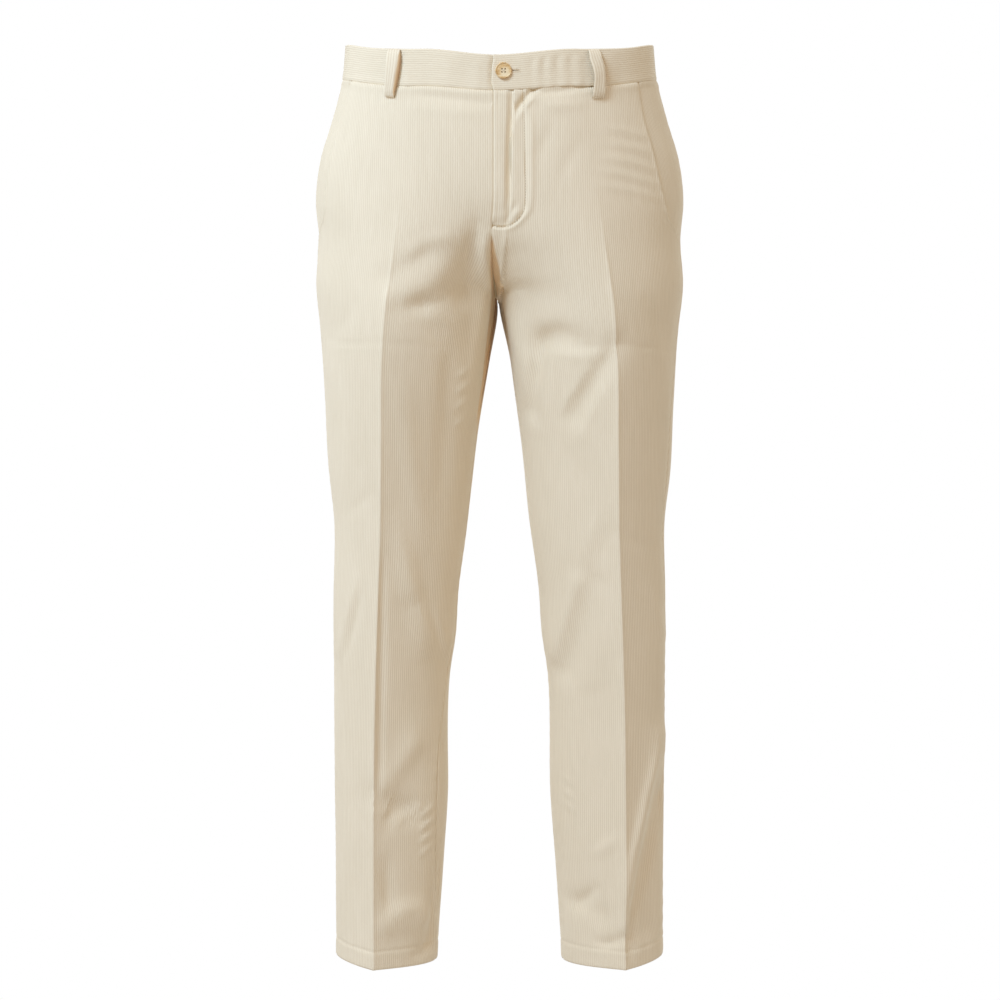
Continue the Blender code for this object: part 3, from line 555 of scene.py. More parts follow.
# Finer creases than the solids', in front view: the width of each, and then its line as X, Z
# and the rise out of the cloth there, over and over. The rise is negative in a trough
CREASES = [
    (9, -25, -220, 0, -30, -236, -2.4, -34, -256, -4, -37, -276, -4, -40, -292, -2.4,
     -46, -306, -0.8, -54, -314, 0),
    (10, -116, -314, 0, -107, -311, -0.8, -97, -308, -2.2, -86, -306, -2.6, -72, -303, -1.4,
     -60, -299, 0),
    (14, -136, -308, 0, -122, -309, 1.2, -110, -310, 1.5, -98, -309, 0.7, -86, -308, 0),
    (13, -86, -305, 0, -74, -302, 1.8, -60, -299, 2.8, -46, -296, 2.2, -34, -292, 0),
    (3.2, -84, -298, 0, -68, -304, -0.9, -50, -316, 0),
    (3.2, -78, -309, 0, -62, -316, -0.9, -47, -329, 0),
    (3.2, -92, -318, 0, -74, -325, -0.8, -56, -340, 0),
    (11, -112, -292, 0, -102, -292, 1, -88, -288, 1.4, -74, -278, 1.4, -62, -262, 1,
     -52, -244, 0), (12, -72, -244, 0, -84, -253, -0.8, -98, -263, -0.8, -110, -272, 0),
    (9, -112, -258, 0, -98, -245, 1.8, -78, -234, 1.8, -60, -230, 1.2, -50, -226, 0),
    (8, -11, -222, 0, -14, -240, 3.4, -16, -262, 5.8, -18, -282, 6.4, -20, -303, 5.6,
     -24, -333, 4, -29, -368, 2.6, -35, -414, 1.4, -40, -448, 0),
    (10, -116, -320, 0, -106, -321, -0.5, -92, -327, -1.6, -74, -337, -2, -59, -356, 0),
    (11, -56, -339, 0, -58, -382, -2.6, -61, -431, -2.6, -65, -494, -2.2, -66, -564, 0),
    (12, -115, -379, 0, -108, -424, 1.5, -100, -493, 2, -91, -563, 1.2, -87, -598, 0),
    (12, -119, -540, 0, -110, -588, 3.2, -103, -623, 4.4, -95, -658, 4.8, -88, -688, 3.4,
     -84, -718, 0),
    (14, -104, -640, 0, -92, -662, 2, -80, -686, 2.6, -67, -712, 2.2, -54, -740, 0.6),
    (5, -132, -580, 0, -134, -642, -2.2, -136, -735, -2.8, -138, -828, -2.4, -139, -878, 0),
    (6, -85, -645, 0, -76, -674, -1, -68, -703, -1.4, -63, -728, -0.6),
    (5, -77, -650, 0, -69, -679, 1.2, -63, -709, 1.2, -60, -724, 0),
    (6, -163, -609, 0, -170, -642, 1.8, -176, -670, 2.2, -184, -702, 1.6, -190, -719, 0),
    (6, -155, -620, 0, -164, -653, -1.6, -173, -691, -1.6, -179, -718, 0),
    (15, -86, -778, 0, -100, -802, 1.6, -116, -828, 0.8, -128, -846, 0),
    (15, -130, -882, 0, -121, -886, -2.6, -110, -892, -2.6, -96, -896, 0),
    (7, -127, -907, 0, -111, -898, 2.2, -97, -890, 2, -88, -881, 0),
    (9, -130, -888, 0, -129, -901, -1.8, -128, -920, 0),
    (9, -133, -936, 0, -130, -965, -3, -128, -991, -3.4, -126, -1012, 0),
    (11, -130, -1016, 1, -114, -1008, 4.2, -98, -1008, 4, -86, -1020, 1.5),
    (8, -73, -950, 0, -73, -985, -4, -76, -1025, -5.6, -84, -1054, -5, -96, -1062, -2),
    (3.4, -97, -901, 0, -88, -896, 2, -78, -889, 1),
    (3.4, -96, -916, 0, -87, -910, 2.2, -77, -903, 1),
    (3.4, -95, -930, 0, -87, -925, 2, -78, -919, 0.9),
    (3.4, -95, -946, 0, -88, -941, 1.6, -80, -935, 0.7),
    (3.4, -51, -388, 0, -44, -384, 1.3, -36, -377, 0.5),
    (3.4, -51, -407, 0, -44, -401, 1.4, -37, -394, 0.5),
    (3.4, -53, -426, 0, -45, -419, 1.3, -39, -413, 0.5),
    (3.4, -53, -446, 0, -47, -440, 1.2, -40, -433, 0.4),
    (3.2, 73, -854, 0.4, 81, -858, 1.1, 90, -863, 0),
    (3.2, 73, -869, 0.4, 81, -874, 1.2, 90, -879, 0),
    (3.2, 74, -886, 0.4, 82, -889, 1.1, 92, -894, 0),
    (11, 4, -238, 0, 18, -246, -1.2, 34, -254, 0),
    (11, 46, -354, -1.4, 54, -342, -2.8, 66, -337, -3.2, 80, -340, -2.2, 96, -348, 0),
    (8, 50, -344, 0, 46, -368, -4.6, 43, -396, -5.4, 42, -424, -4, 43, -448, 0),
    (7, 52, -363, 0, 69, -360, 1.6, 91, -363, 1.8, 114, -362, 1, 124, -357, 0),
    (8, 128, -349, 0, 118, -370, -1.4, 105, -393, -1.4, 92, -416, -1, 80, -440, 0),
    (7, 128, -381, 0, 117, -404, 1.4, 105, -427, 1.8, 94, -450, 1.2, 87, -468, 0),
    (6, 102, -370, 0, 88, -395, 1.6, 76, -416, 1.6, 69, -436, 0),
    (7, 98, -609, 0, 84, -642, 1.2, 72, -678, 1.8, 65, -705, 1.4, 62, -721, 0),
    (16, 118, -640, 0, 106, -670, -1.4, 94, -704, -1.6, 82, -738, 0),
    (8, 120, -521, 0, 104, -568, 1.5, 89, -609, 0),
    (8, 129, -550, 0, 117, -587, -1.5, 106, -624, 0),
    (6, 171, -623, 0, 179, -652, 2, 187, -681, 2, 191, -701, 0),
    (5.5, 187, -796, 0, 182, -830, 2.6, 171, -872, 3.4, 161, -914, 3.6, 153, -948, 3,
     149, -982, 1.6, 146, -1005, 0),
    (7.5, 193, -826, 0, 187, -870, -5, 177, -921, -7.2, 167, -966, -8, 158, -1008, -7,
     153, -1035, -4.2, 150, -1059, -1),
    (7.5, 117, -974, 0, 106, -988, -3.8, 94, -1001, -4.2, 84, -1012, 0),
    (7, 138, -913, 0, 128, -927, 2, 117, -937, 1.8, 107, -948, 0),
    (5.5, 106, -1042, 0, 124, -1045, -3.4, 144, -1036, -3),
    (3.8, 38, -64, -4.4, 29, -74, -5, 22, -84, -4, 18, -94, -1.8, 16, -103, 0),
    (3.4, 42, -74, 0, 33, -80, 1.4, 24, -91, 1.2, 17, -102, 0),
    (4.2, 2, -73, 0.3, -1, -100, 0.8, -1, -156, 0.8, -2, -205, 0.2),
    (3.4, 21, -190, 0, 14, -200, -1.8, 8, -214, -1.4),
    (3.2, 25, -194, 0, 20, -203, 1.4, 12, -212, 0.6),
    (4.4, 40, -66, -3, 55, -67, -3.6, 72, -65, -3.6, 90, -62, -3, 106, -59, -1.8, 118, -57, 0),
    (6, 45, -83, 0, 63, -83, 1.8, 84, -82, 1.2, 102, -79, 0),
    (5, -110, -67, 0, -78, -72, -1.1, -42, -77, -1.3, -13, -81, -1, -8, -82, 0),
    (6, -114, -81, 0, -78, -87, 0.8, -33, -92, 0.8, -11, -93, 0),
    (2.2, -199, -345, -0.7, -170, -349, -0.8, -130, -348, -0.7, -79, -352, -0.5, -36, -354, 0),
    (2.2, 28, -354, 0, 86, -355, -0.5, 127, -351, -0.7, 159, -352, -0.9, 192, -356, -0.7),
    (3.6, 34, -82, 0, 36, -105, 1.2, 36, -144, 1.4, 36, -178, 1.5, 34, -198, 1.5, 26, -210, 1.3,
     14, -219, 0.8, 3, -222, 0), (8, 41, -153, 0, 51, -124, -1.2, 65, -97, 0),
    (9, 63, -178, 0, 79, -144, -1.1, 100, -112, 0),
    (4, 111, -107, 0, 139, -109, 1.3, 169, -115, 1.1, 184, -119, 0),
    (4, 109, -123, 0, 139, -126, 1.3, 169, -131, 1.2, 186, -137, 0),
    (4, 106, -139, 0, 136, -142, 1.4, 169, -149, 1.2, 188, -154, 0),
    (4, 104, -155, 0, 134, -158, 1.3, 166, -165, 1.2, 188, -170, 0),
    (4, 102, -170, 0, 134, -174, 1.2, 166, -180, 1, 188, -186, 0),
    (9, 160, -292, 0, 176, -318, -1.2, 190, -344, -1, 200, -370, 0),
    (9, -156, -288, 0, -176, -322, -1.1, -196, -352, 0),
    (7, 120, -556, 0, 152, -574, -1, 180, -590, 0),
    (7, -136, -512, 0, -160, -532, -0.9, -182, -552, 0),
    (7, 92, -764, 0, 110, -752, -0.9, 130, -742, 0),
]


def curve_through(corners, count):
    """Evenly spaced points on a smooth curve through the corners, by cubic steps whose
    slopes are those of the chord from the corner before to the corner after."""
    ends = np.concatenate([
        2 * corners[:1] - corners[1:2], corners, 2 * corners[-1:] - corners[-2:-1],
    ])
    t = np.linspace(0, 1, 41)[:, None]
    fine = np.concatenate([
        0.5 * (2 * b + (c - a) * t + (2 * a - 5 * b + 4 * c - d) * t**2
               + (3 * b - a - 3 * c + d) * t**3)
        for a, b, c, d in zip(ends, ends[1:], ends[2:], ends[3:])
    ])
    run = np.concatenate([[0], np.cumsum(np.linalg.norm(np.diff(fine, axis=0), axis=1))])
    even = np.linspace(0, run[-1], count)
    return np.stack([np.interp(even, run, column) for column in fine.T], axis=-1)


def crease_height(flat, creases):
    """Height of the creases at front-view points: the rise at the nearest place of each line,
    times a bell curve of the distance to it."""
    height = np.zeros(flat.shape[:-1])
    for width, *corners in creases:
        corners = np.array(corners, float).reshape(-1, 3)
        run = np.linalg.norm(np.diff(corners, axis=0), axis=1).sum()
        line = curve_through(corners, int(run / width * 4) + 2)
        low, high = line[:, :2].min(0) - 3 * width, line[:, :2].max(0) + 3 * width
        near = ((flat > low) & (flat < high)).all(-1)
        off = ((flat[near][:, None, :] - line[:, :2]) ** 2).sum(-1)
        height[near] += line[off.argmin(1), 2] * np.exp(-off.min(1) / width**2)
    return height


def panel_depths(near_band, fly_end, leg):
    """Depths of a panel's rows: closer below the band, round the fly's end and at the hem."""
    return np.concatenate([np.linspace(*row) for row in (
        (BAND_DEPTH + SEAM_GAP / 2, 66, 12),
        (70, FLY_END_DEPTH - 15, near_band),
        (FLY_END_DEPTH - 13.8, FLY_END_DEPTH + 20, fly_end),
        (FLY_END_DEPTH + 24, POCKET_END_DEPTH, 8),
        (POCKET_END_DEPTH + 3, OUTSEAM - 30, leg),
        (OUTSEAM - 28.5, OUTSEAM, 20),
    )])


FRONT_DEPTHS = panel_depths(30, 30, 196)
LINING_STEPS = 36
PUCKER = 0.34
BAND_SEAM_DIP = 0.8
BAND_SEAM_WIDTH = 1.8
HEM_STITCH = 21.0
HEM_GROOVE = 0.55
HEM_FULLNESS = 0.45
PRESSED_RISE = 1.1
PRESSED_WIDTH = 2.2


def wobble(points):
    """A low uneven swell of the cloth, as products of sines of the place."""
    x, y, z = np.moveaxis(points, -1, 0)
    broad = np.sin(x / 31 + 1.3 * np.sin(z / 83)) * np.sin(z / 47 + y / 60)
    finer = np.sin(z / 23 + x / 19) * np.sin(y / 27 - z / 61)
    return 0.38 * broad + 0.22 * finer


def pucker(depths, off, phase):
    """Small waves along a seam that die away from it: a sine of uneven pitch along it."""
    wave = np.sin(depths / 2.9 + 2.2 * np.sin(depths / 37 + phase) + phase)
    slow = 0.6 + 0.4 * np.sin(depths / 61 + 2 * phase)
    return PUCKER * wave * slow * np.exp(-off / 7.0)


def panel_relief(half, lengths, points, start, end, creases, phase):
    """Broad relief of a panel: its creases and swell, away from the seams, with the dips and
    waves along the seams, the hem's stitched groove and the pressed crease."""
    depth = half.depths[:, None]
    flat = points[..., [0, 2]] * (half.side, 1)
    off = np.minimum(lengths - start[:, None], end[:, None] - lengths)
    from_band, from_hem = depth - BAND_DEPTH, OUTSEAM - depth
    from_stitch = from_hem - HEM_STITCH
    height = crease_height(flat, creases) + wobble(points * (half.side, 1, 1))
    height *= smooth(off / 9)
    height += pucker(depth, off, phase) * smooth((depth - 60) / 40)
    height += 0.5 * bell(from_band - 5, 3.5)
    height -= BAND_SEAM_DIP * bell(from_band, BAND_SEAM_WIDTH)
    height += HEM_FULLNESS * smooth(-from_stitch / 5) - HEM_GROOVE * bell(from_stitch, 1.5)
    waves = np.sin(lengths / 6.1 + 3 * np.sin(lengths / 31 + phase))
    height += 0.3 * waves * bell(from_stitch, 8) - HEM_GROOVE * bell(from_hem, 0.9)
    pressed = PRESSED_RISE * smooth((depth - 170) / 110)
    return height + pressed * np.exp(-np.abs(lengths - half.crease[:, None]) / PRESSED_WIDTH)


def panel_piece(face, half, start, end, ribs, lift, drawn_in, creases, phase, edge_dip):
    """A leg panel: ribbed outside on the rings, plain inside, doubled at the turned-up hem.

    ribs holds the origin line and the stretch, lift gives the shift of the whole wall at
    some lengths and drawn_in its move in X and Y with its painted shade, and edge_dip how
    deep the outside dips at the start and the end of each row.
    """
    depth = half.depths[:, None]
    turned_up = smooth((HEM_TURN_UP + 1 - (OUTSEAM - depth)) / 2)
    lengths, rises, *kept = ribbed(start, end, *ribs)
    lining = between(start, end, np.linspace(0, 1, LINING_STEPS + 1))
    grids, folds, maps = [], [], []
    for s, outside in ((lengths, True), (lining, False)):
        points, normals = half.surface(s)
        height = lift(s) + panel_relief(half, s, points, start, end, creases, phase)
        if outside:
            off_start, off_end = s - start[:, None], end[:, None] - s
            height -= edge_dip[0] * bell(off_start, SEAM_DIP_WIDTH)
            height -= edge_dip[1] * bell(off_end, SEAM_DIP_WIDTH)
            height += rises * smooth(np.minimum(off_start, off_end) / RIB_FADE)
        else:
            height -= CLOTH * (1 + turned_up)
        # drawn_in gives the move in X and Y, and the painted shade that darkens the colour where
        # the cloth lies deep
        drawn, folded = drawn_in(s)
        grids.append((points + height[..., None] * normals + drawn) * (half.side, 1, 1) * MM)
        folds.append(folded)
        origin, stretch = ribs
        maps.append(stacked((s - origin[:, None]) / stretch[:, None], depth))
    name = f"{face}_{half.hand}"
    mesh = cloth_shell(name + "_cloth", grids, maps, half.side < 0, kept, folds[0])
    piece = placed(name + "_cloth", mesh, LEG_CLOTH)
    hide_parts(name)


def outseam(half):
    """Length to the outseam of each ring."""
    return half.widest - half.seam("out")


def mouth(half):
    """Length to the pocket mouth's folded edge, which runs down to the outseam."""
    within = np.clip(half.depths, BAND_DEPTH, POCKET_END_DEPTH)
    drawn = half.length_at_x(along(MOUTHS, half.hand, within))
    closing = (within - POCKET_CLOSING_DEPTH) / (POCKET_END_DEPTH - POCKET_CLOSING_DEPTH)
    return drawn + np.clip(closing, 0, 1) * (outseam(half) - POCKET_LEAST - drawn)


# The fly's stitching on the left front, in front view
J_LINE = np.array([
    (27.2, -67.0), (27.1, -78.3), (28.6, -138.8), (29.3, -180.6), (28.0, -197.2),
    (23.1, -208.2), (13.0, -216.5), (1.7, -218.9), (-7.8, -217.8),
])
J_CURVE = curve_through(J_LINE, 160)

# X in front view of the rib that meets the crease at the thigh, where it runs up the trunk
RIB_LINE = columns("depth x", [
    (44, 117), (200, 121), (262, 125.5), (330, 130.3), (400, 133.5), (1068, 146),
])

# How far the cloth lies back in the V below the fly, and the X outwards of the V's edge on
# each leg. On the right leg the edge runs on down the thigh, and the inseam lies behind it
V_EDGE = columns("depth back right left", [
    (44, 0, 9, -9), (206, 0, 9, -9), (212, 0, 9.2, -8.6), (221, 2.5, 9.4, -6.8),
    (237, 4, 9.9, -3.4), (253, 4.5, 10.4, 1.2), (275, 5, 10.9, 4.2), (295, 6, 11.4, 6.4),
    (304, 8, 11.8, 7), (335, 11, 14.6, 9), (375, 9, 18.9, 9), (420, 4, 25, 9), (450, 0, 29, 9),
    (460, 0, 30, 9), (1068, 0, 30, 9),
])

# The fold that stands beside the fly's lap: X of its sharp edge and how deep it lies there
FLY_VALLEY = columns("depth x deep", [
    (44, 15.4, 2.4), (56, 15.2, 3.4), (80, 14.6, 4.4), (117, 13, 4.8), (150, 12.6, 4.8),
    (170, 12.4, 4), (186, 11, 2.2), (198, 9.6, 0.4), (204, 9, 0), (1068, 9, 0),
])
PLACKET_SINK = 1.5
FLY_LIP = 0.8
UNDER_TUCK = 3.6
MOUTH_ROLL = 0.6
THIGH_SHIFT, THIGH_PLACE, THIGH_WIDTH = 5.5, 42, 22


def crotch_drawn_in(half, start):
    """The move of the cloth back inside the V's edge, and the painted shade on the cloth that
    lies back there. Above the fork the move is full at the rise seam, and below it none at
    the inseam, so that the seam stays where it is. The left thigh's front lies a little
    nearer the middle."""
    left = half.side > 0
    back = along(V_EDGE, "back", half.depths)[:, None]
    edge = half.length_at_x(along(V_EDGE, half.hand, half.depths))[:, None]
    below = smooth((half.depths - 282) / 18)[:, None]
    thigh = left * below * (1 - smooth((half.depths[:, None] - 400) / 60))

    def move(lengths):
        from_seam = lengths - start[:, None]
        inside = 1 - smooth((lengths - edge) / 2.8 + 0.5)
        at_seam = smooth(from_seam / 12) * (not left)
        across = -THIGH_SHIFT * thigh * bell(from_seam - THIGH_PLACE, THIGH_WIDTH)
        moved = stacked(across, back * inside * (1 - below + below * at_seam), 0.0)
        # Painted shade: the colour darkens where the cloth lies back inside the V, but not on the
        # left thigh below the fork
        deep = 0.4 * inside * np.clip(back / 3, 0, 1)
        return moved, deep * (1 - below * left)

    return move


def front_ribs(half, fly):
    """The ribs run parallel to the fly beside it, and to the crease from the thigh down."""
    depths = half.depths
    risen = half.length_at_x(along(RIB_LINE, "x", depths))
    low = smooth((depths - 300) / 60)
    origin = risen * (1 - low) + half.crease * low
    across = origin - fly
    at_end = np.interp(FLY_END_DEPTH, depths, across)
    return origin, np.where(depths <= FLY_END_DEPTH, across / at_end, 1.0)


def under_lap(lengths, fly, in_fly):
    """The right front lies lower from the fly inwards, and lower still under the lap."""
    beyond = lengths - fly[:, None]
    risen = 0.8 * smooth(beyond + 0.1) + 0.2 * smooth(beyond / FLY_STEP)
    tucked = UNDER_TUCK * smooth((-beyond - 1) / 5)
    return -(UNDER_CLOTH * (1 - risen) + tucked) * in_fly[:, None]


def over_lap(half, lengths, fly, in_fly):
    """The left front sinks inside the J's stitches, which press a groove into it, and beside
    the lap's turned edge, with a sharp fold standing between the two."""
    flat = half.read(half.points, lengths)[..., [0, 2]]
    off = np.full(lengths.shape, 40.0)
    close = (np.abs(flat[..., 0] - 12) < 32) & (half.depths[:, None] < 240)
    nearest = ((flat[close][:, None, :] - J_CURVE) ** 2).sum(-1).argmin(1)
    way = np.gradient(J_CURVE, axis=0)[nearest]
    gap = flat[close] - J_CURVE[nearest]
    outside = np.sign(gap[:, 1] * way[:, 0] - gap[:, 0] * way[:, 1])
    off[close] = np.linalg.norm(gap, axis=-1) * np.where(outside == 0, 1, outside)
    placket = -PLACKET_SINK * smooth((off + 14) / 13) * (1 - smooth(off / 4.5))
    lip = FLY_LIP * bell(lengths - fly[:, None] - 1.8, 2.0) * in_fly[:, None]
    foot = 1 + 0.9 * smooth((-flat[..., 1] - 198) / 14)
    sewn = -1.0 * bell(off, 0.95) + 0.4 * bell(off - 2.2, 1.5)
    edge, deep = (along(FLY_VALLEY, name, half.depths)[:, None] for name in ("x", "deep"))
    beside = flat[..., 0] - edge
    valley = deep * smooth((beside + 8.5) / 7.5) * (1 - smooth(beside / 1.7))
    return sewn * foot + placket + lip - valley


def front_panel(side):
    """From the fly or inseam over the crease to the pocket mouth or the outseam. On the
    wearer's right it runs on under the fly's folded edge."""
    half = Half(side, FRONT_DEPTHS)
    depths = half.depths
    above = (FLY_END_DEPTH - depths) / FLY_TAPER
    reach = side * (FLY_EDGE_X - along(DRIFT, "front", depths)) * np.clip(above, 0, 1)
    fly = reach + np.where(depths > FORK_DEPTH, half.seam("in"), 0.0) + SEAM_GAP / 2
    pocket, in_fly = depths <= POCKET_END_DEPTH, depths <= FLY_END_DEPTH
    end = np.where(pocket, mouth(half), outseam(half)) - SEAM_GAP / 2
    start = fly - FLY_TUCK * np.clip(above, 0.01, 1) * in_fly * (side < 0)

    def lift(lengths):
        """The pocket mouth's rolled edge, and what the fly's lap does to the cloth."""
        rolled = MOUTH_ROLL * bell(end[:, None] - lengths - 2.8, 2.6)
        rolled = rolled * (pocket * smooth((depths - 66) / 50))[:, None]
        if side < 0:
            return rolled + under_lap(lengths, fly, in_fly)
        return rolled + over_lap(half, lengths, fly, in_fly)

    start_dip = np.where(depths > 330, DEEP_SEAM_DIP, FORK_SEAM_DIP)
    start_dip = np.where(in_fly, SEAM_DIP * (side > 0), start_dip)
    end_dip = np.where(pocket, SEAM_DIP, DEEP_SEAM_DIP)
    panel_piece("front", half, start, end, front_ribs(half, fly), lift,
                crotch_drawn_in(half, fly), CREASES, 1.0 + side,
                (start_dip[:, None], end_dip[:, None]))


front_panel(-1)
front_panel(1)


# ------------------------------------------------------------------ back panels
# Two backs of the same corduroy, joined down the seat and shaped by two sewn darts each
# below the band. They wrap forward at the calf of the right leg to the inseam.

SEAT_CREASES = [
    (9, -22, -290, 0, -68, -299, -2.6, -110, -318, 0),
    (10, 24, -286, 0, 60, -314, -2.8, 104, -322, 0),
    (8, -46, -318, 0, -83, -345, -1.8, -128, -352, 0),
    (9, 52, -322, 0, 94, -331, -1.7, 132, -350, 0),
    (7, -40, -300, 0, -72, -308, 1.4, -96, -330, 0),
    (7, 44, -302, 0, 72, -318, 1.3, 100, -334, 0),
    (9, -76, -566, 0, -100, -551, -2.2, -128, -548, 0),
    (9, -82, -592, 0, -110, -593, -2, -134, -606, 0),
    (8, -78, -580, 0, -104, -585, 1.2, -130, -578, 0),
    (9, 70, -556, 0, 99, -565, -2.1, 128, -574, 0),
    (9, 76, -596, 0, 102, -587, -2.2, 130, -590, 0),
    (8, 74, -578, 0, 100, -574, 1.2, 126, -582, 0),
    (10, -92, -640, 0, -113, -668, -1.6, -126, -700, 0),
    (10, 88, -636, 0, 109, -663, -1.5, 124, -694, 0),
    (10, -140, -196, 0, -158, -229, -1.4, -176, -262, 0),
    (10, 142, -192, 0, 164, -223, -1.5, 178, -258, 0),
    (10, -104, -860, 0, -122, -895, -1.3, -140, -930, 0),
    (10, 110, -852, 0, 139, -895, -1.4, 146, -946, 0),
    (8, -96, -1018, 0, -115, -1027, 1.1, -136, -1026, 0),
    (8, 100, -1020, 0, 121, -1022, 1.1, 140, -1014, 0),
    (11, -20, -170, 0, -47, -198, 0.9, -58, -236, 0),
    (11, 22, -168, 0, 32, -209, 0.8, 60, -240, 0),
]
DARTS = ((62.0, 88.0), (112.0, 72.0))
DART_DIP, DART_WIDTH = 0.75, 1.5
DART_SWELL, DART_SWELL_WIDTH = 0.8, 9
BACK_DEPTHS = panel_depths(26, 8, 172)


def back_panel(side):
    """From the outseam over the back crease to the seat seam or the inseam."""
    half = Half(side, BACK_DEPTHS)
    start = outseam(half) + SEAM_GAP / 2
    inseam = np.where(half.depths > FORK_DEPTH, half.seam("in"), 0.0)
    end = half.back + inseam - SEAM_GAP / 2
    depth = half.depths[:, None]

    def lift(lengths):
        """A sewn line down from the band for each dart, shallower towards its point, and the
        front's creases where the back shows in front."""
        from_seat = half.back[:, None] - lengths
        total = np.zeros(lengths.shape)
        for place, reach in DARTS:
            below = (depth - BAND_DEPTH) / reach
            line = bell(from_seat - place, DART_WIDTH) * smooth((1 - below) * 6)
            swell = bell(from_seat - place, DART_SWELL_WIDTH) * bell(below - 1.05, 0.22)
            total += DART_SWELL * swell - DART_DIP * line * (1 - 0.4 * below)
        points = half.read(half.points, lengths)
        wrapped = crease_height(points[..., [0, 2]] * (side, 1), CREASES)
        off = np.minimum(lengths - start[:, None], end[:, None] - lengths)
        return total + wrapped * smooth(-points[..., 1] / 8) * smooth(off / 9)

    def inner_thigh_shade(lengths):
        """No move, and painted shade on the part beside the inseam that lies between the thighs.
        """
        beside = smooth(1 - (end[:, None] - lengths) / 30)
        high = smooth((depth - 262) / 30) * (1 - smooth((depth - 380) / 90))
        # Painted shade on the right leg only, darkening the inner thigh beside the inseam
        return 0.0, beside * high * (side < 0)

    panel_piece("back", half, start, end, (half.back_crease, np.ones(len(depth))), lift,
                inner_thigh_shade, SEAT_CREASES, 3.0 + side, (DEEP_SEAM_DIP, DEEP_SEAM_DIP))


back_panel(-1)
back_panel(1)


# ------------------------------------------------------------------ pocket facings
# The strip of the same cloth that shows inside each slanted pocket mouth. It runs from
# under the front panel's folded edge to the side seam.

POCKET_TUCK = 8.0
POCKET_SINK = 2.1
POCKET_LINING_STEPS = 6


def pocket_facing(side):
    """A ribbed strip that sinks evenly from the side seam to the mouth, less where the band's
    seam holds it up."""
    half = Half(side, BACK_DEPTHS[BACK_DEPTHS <= POCKET_END_DEPTH])
    edge = mouth(half) - SEAM_GAP / 2
    start, end = edge - POCKET_TUCK, outseam(half) - SEAM_GAP / 2
    lengths, rises, *kept = ribbed(start, end, end, np.ones(len(end)))
    lining = between(start, end, np.linspace(0, 1, POCKET_LINING_STEPS + 1))
    depth = half.depths[:, None]
    grids, maps = [], []
    for s, outside in ((lengths, True), (lining, False)):
        from_end = end[:, None] - s
        held = (1 - smooth((depth - BAND_DEPTH - 1) / 7)) * smooth((s - edge[:, None] - 1) / 4)
        sink = POCKET_SINK * (1 - 0.85 * held)
        height = -sink * np.clip(from_end / (end - edge)[:, None], 0, 1)
        if outside:
            off = np.minimum(s - start[:, None], from_end)
            height += rises * smooth(off / RIB_FADE)
            height -= SEAM_DIP * bell(from_end, SEAM_DIP_WIDTH)
            height -= SEAM_DIP * bell(depth - BAND_DEPTH, BAND_SEAM_WIDTH)
        else:
            height -= CLOTH
        grids.append(half.at(s, height))
        maps.append(stacked(s - end[:, None], depth))
    name = f"pocket_facing_{half.hand}"
    mesh = cloth_shell(name, grids, maps, side < 0, kept)
    piece = placed(name + "_cloth", mesh, LEG_CLOTH)
    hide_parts(name)


pocket_facing(-1)
pocket_facing(1)


# ------------------------------------------------------------------ waistband
# A doubled band of corduroy with the ribs running level, folded over at its top edge and
# topped up with a stiff inner layer. The left end laps over the right behind the button.

BAND_CLOTH = 3.0
BAND_EDGE_X = -8.4
BAND_LAP = 36.0
BAND_STEP = 6.0
UNDER_BAND = 3.4
BAND_RIBS = 18
BAND_WALE = (BAND_DEPTH - SEAM_GAP / 2) / (BAND_RIBS - 1)
BAND_ROUNDING = 1.5
BAND_COLUMN = 2.6
BAND_SAG = 3.2
BAND_RISE = 0.26
BAND_SEAM = 0.9
BUTTON_DEPTH = 20.5
SLIT_X = (12.6, 23.0)
SLIT_DEPTH = 2.4
BAND_FINISH = corduroy("band_corduroy", streak=0.08, mottle=0.08)

# Upright ripples of the band, as X in front view, width and height
RIPPLES = [
    (36, 4, -0.5), (43, 3.5, 0.6), (50, 3.2, -0.7), (57, 3.4, 0.6), (65, 3.6, -0.8),
    (73, 3.8, 0.7), (81, 3.5, -0.7), (89, 4, 0.6), (97, 3.4, -0.5), (122, 5, 0.4), (136, 5, -0.5),
    (-24, 5, 0.4), (-38, 6, -0.4), (-58, 6, 0.4), (-80, 6, -0.4), (-104, 5, 0.5), (-140, 6, -0.5),
]


def round_ribs(count):
    """Places of four lines for each of so many ribs, in wales, and their heights up to 1."""
    lines = (np.arange(count)[:, None] + np.array([0.0, 0.2, 0.5, 0.8])).ravel()
    return lines, np.tile([0.0, 0.82, 1.0, 0.82], count)


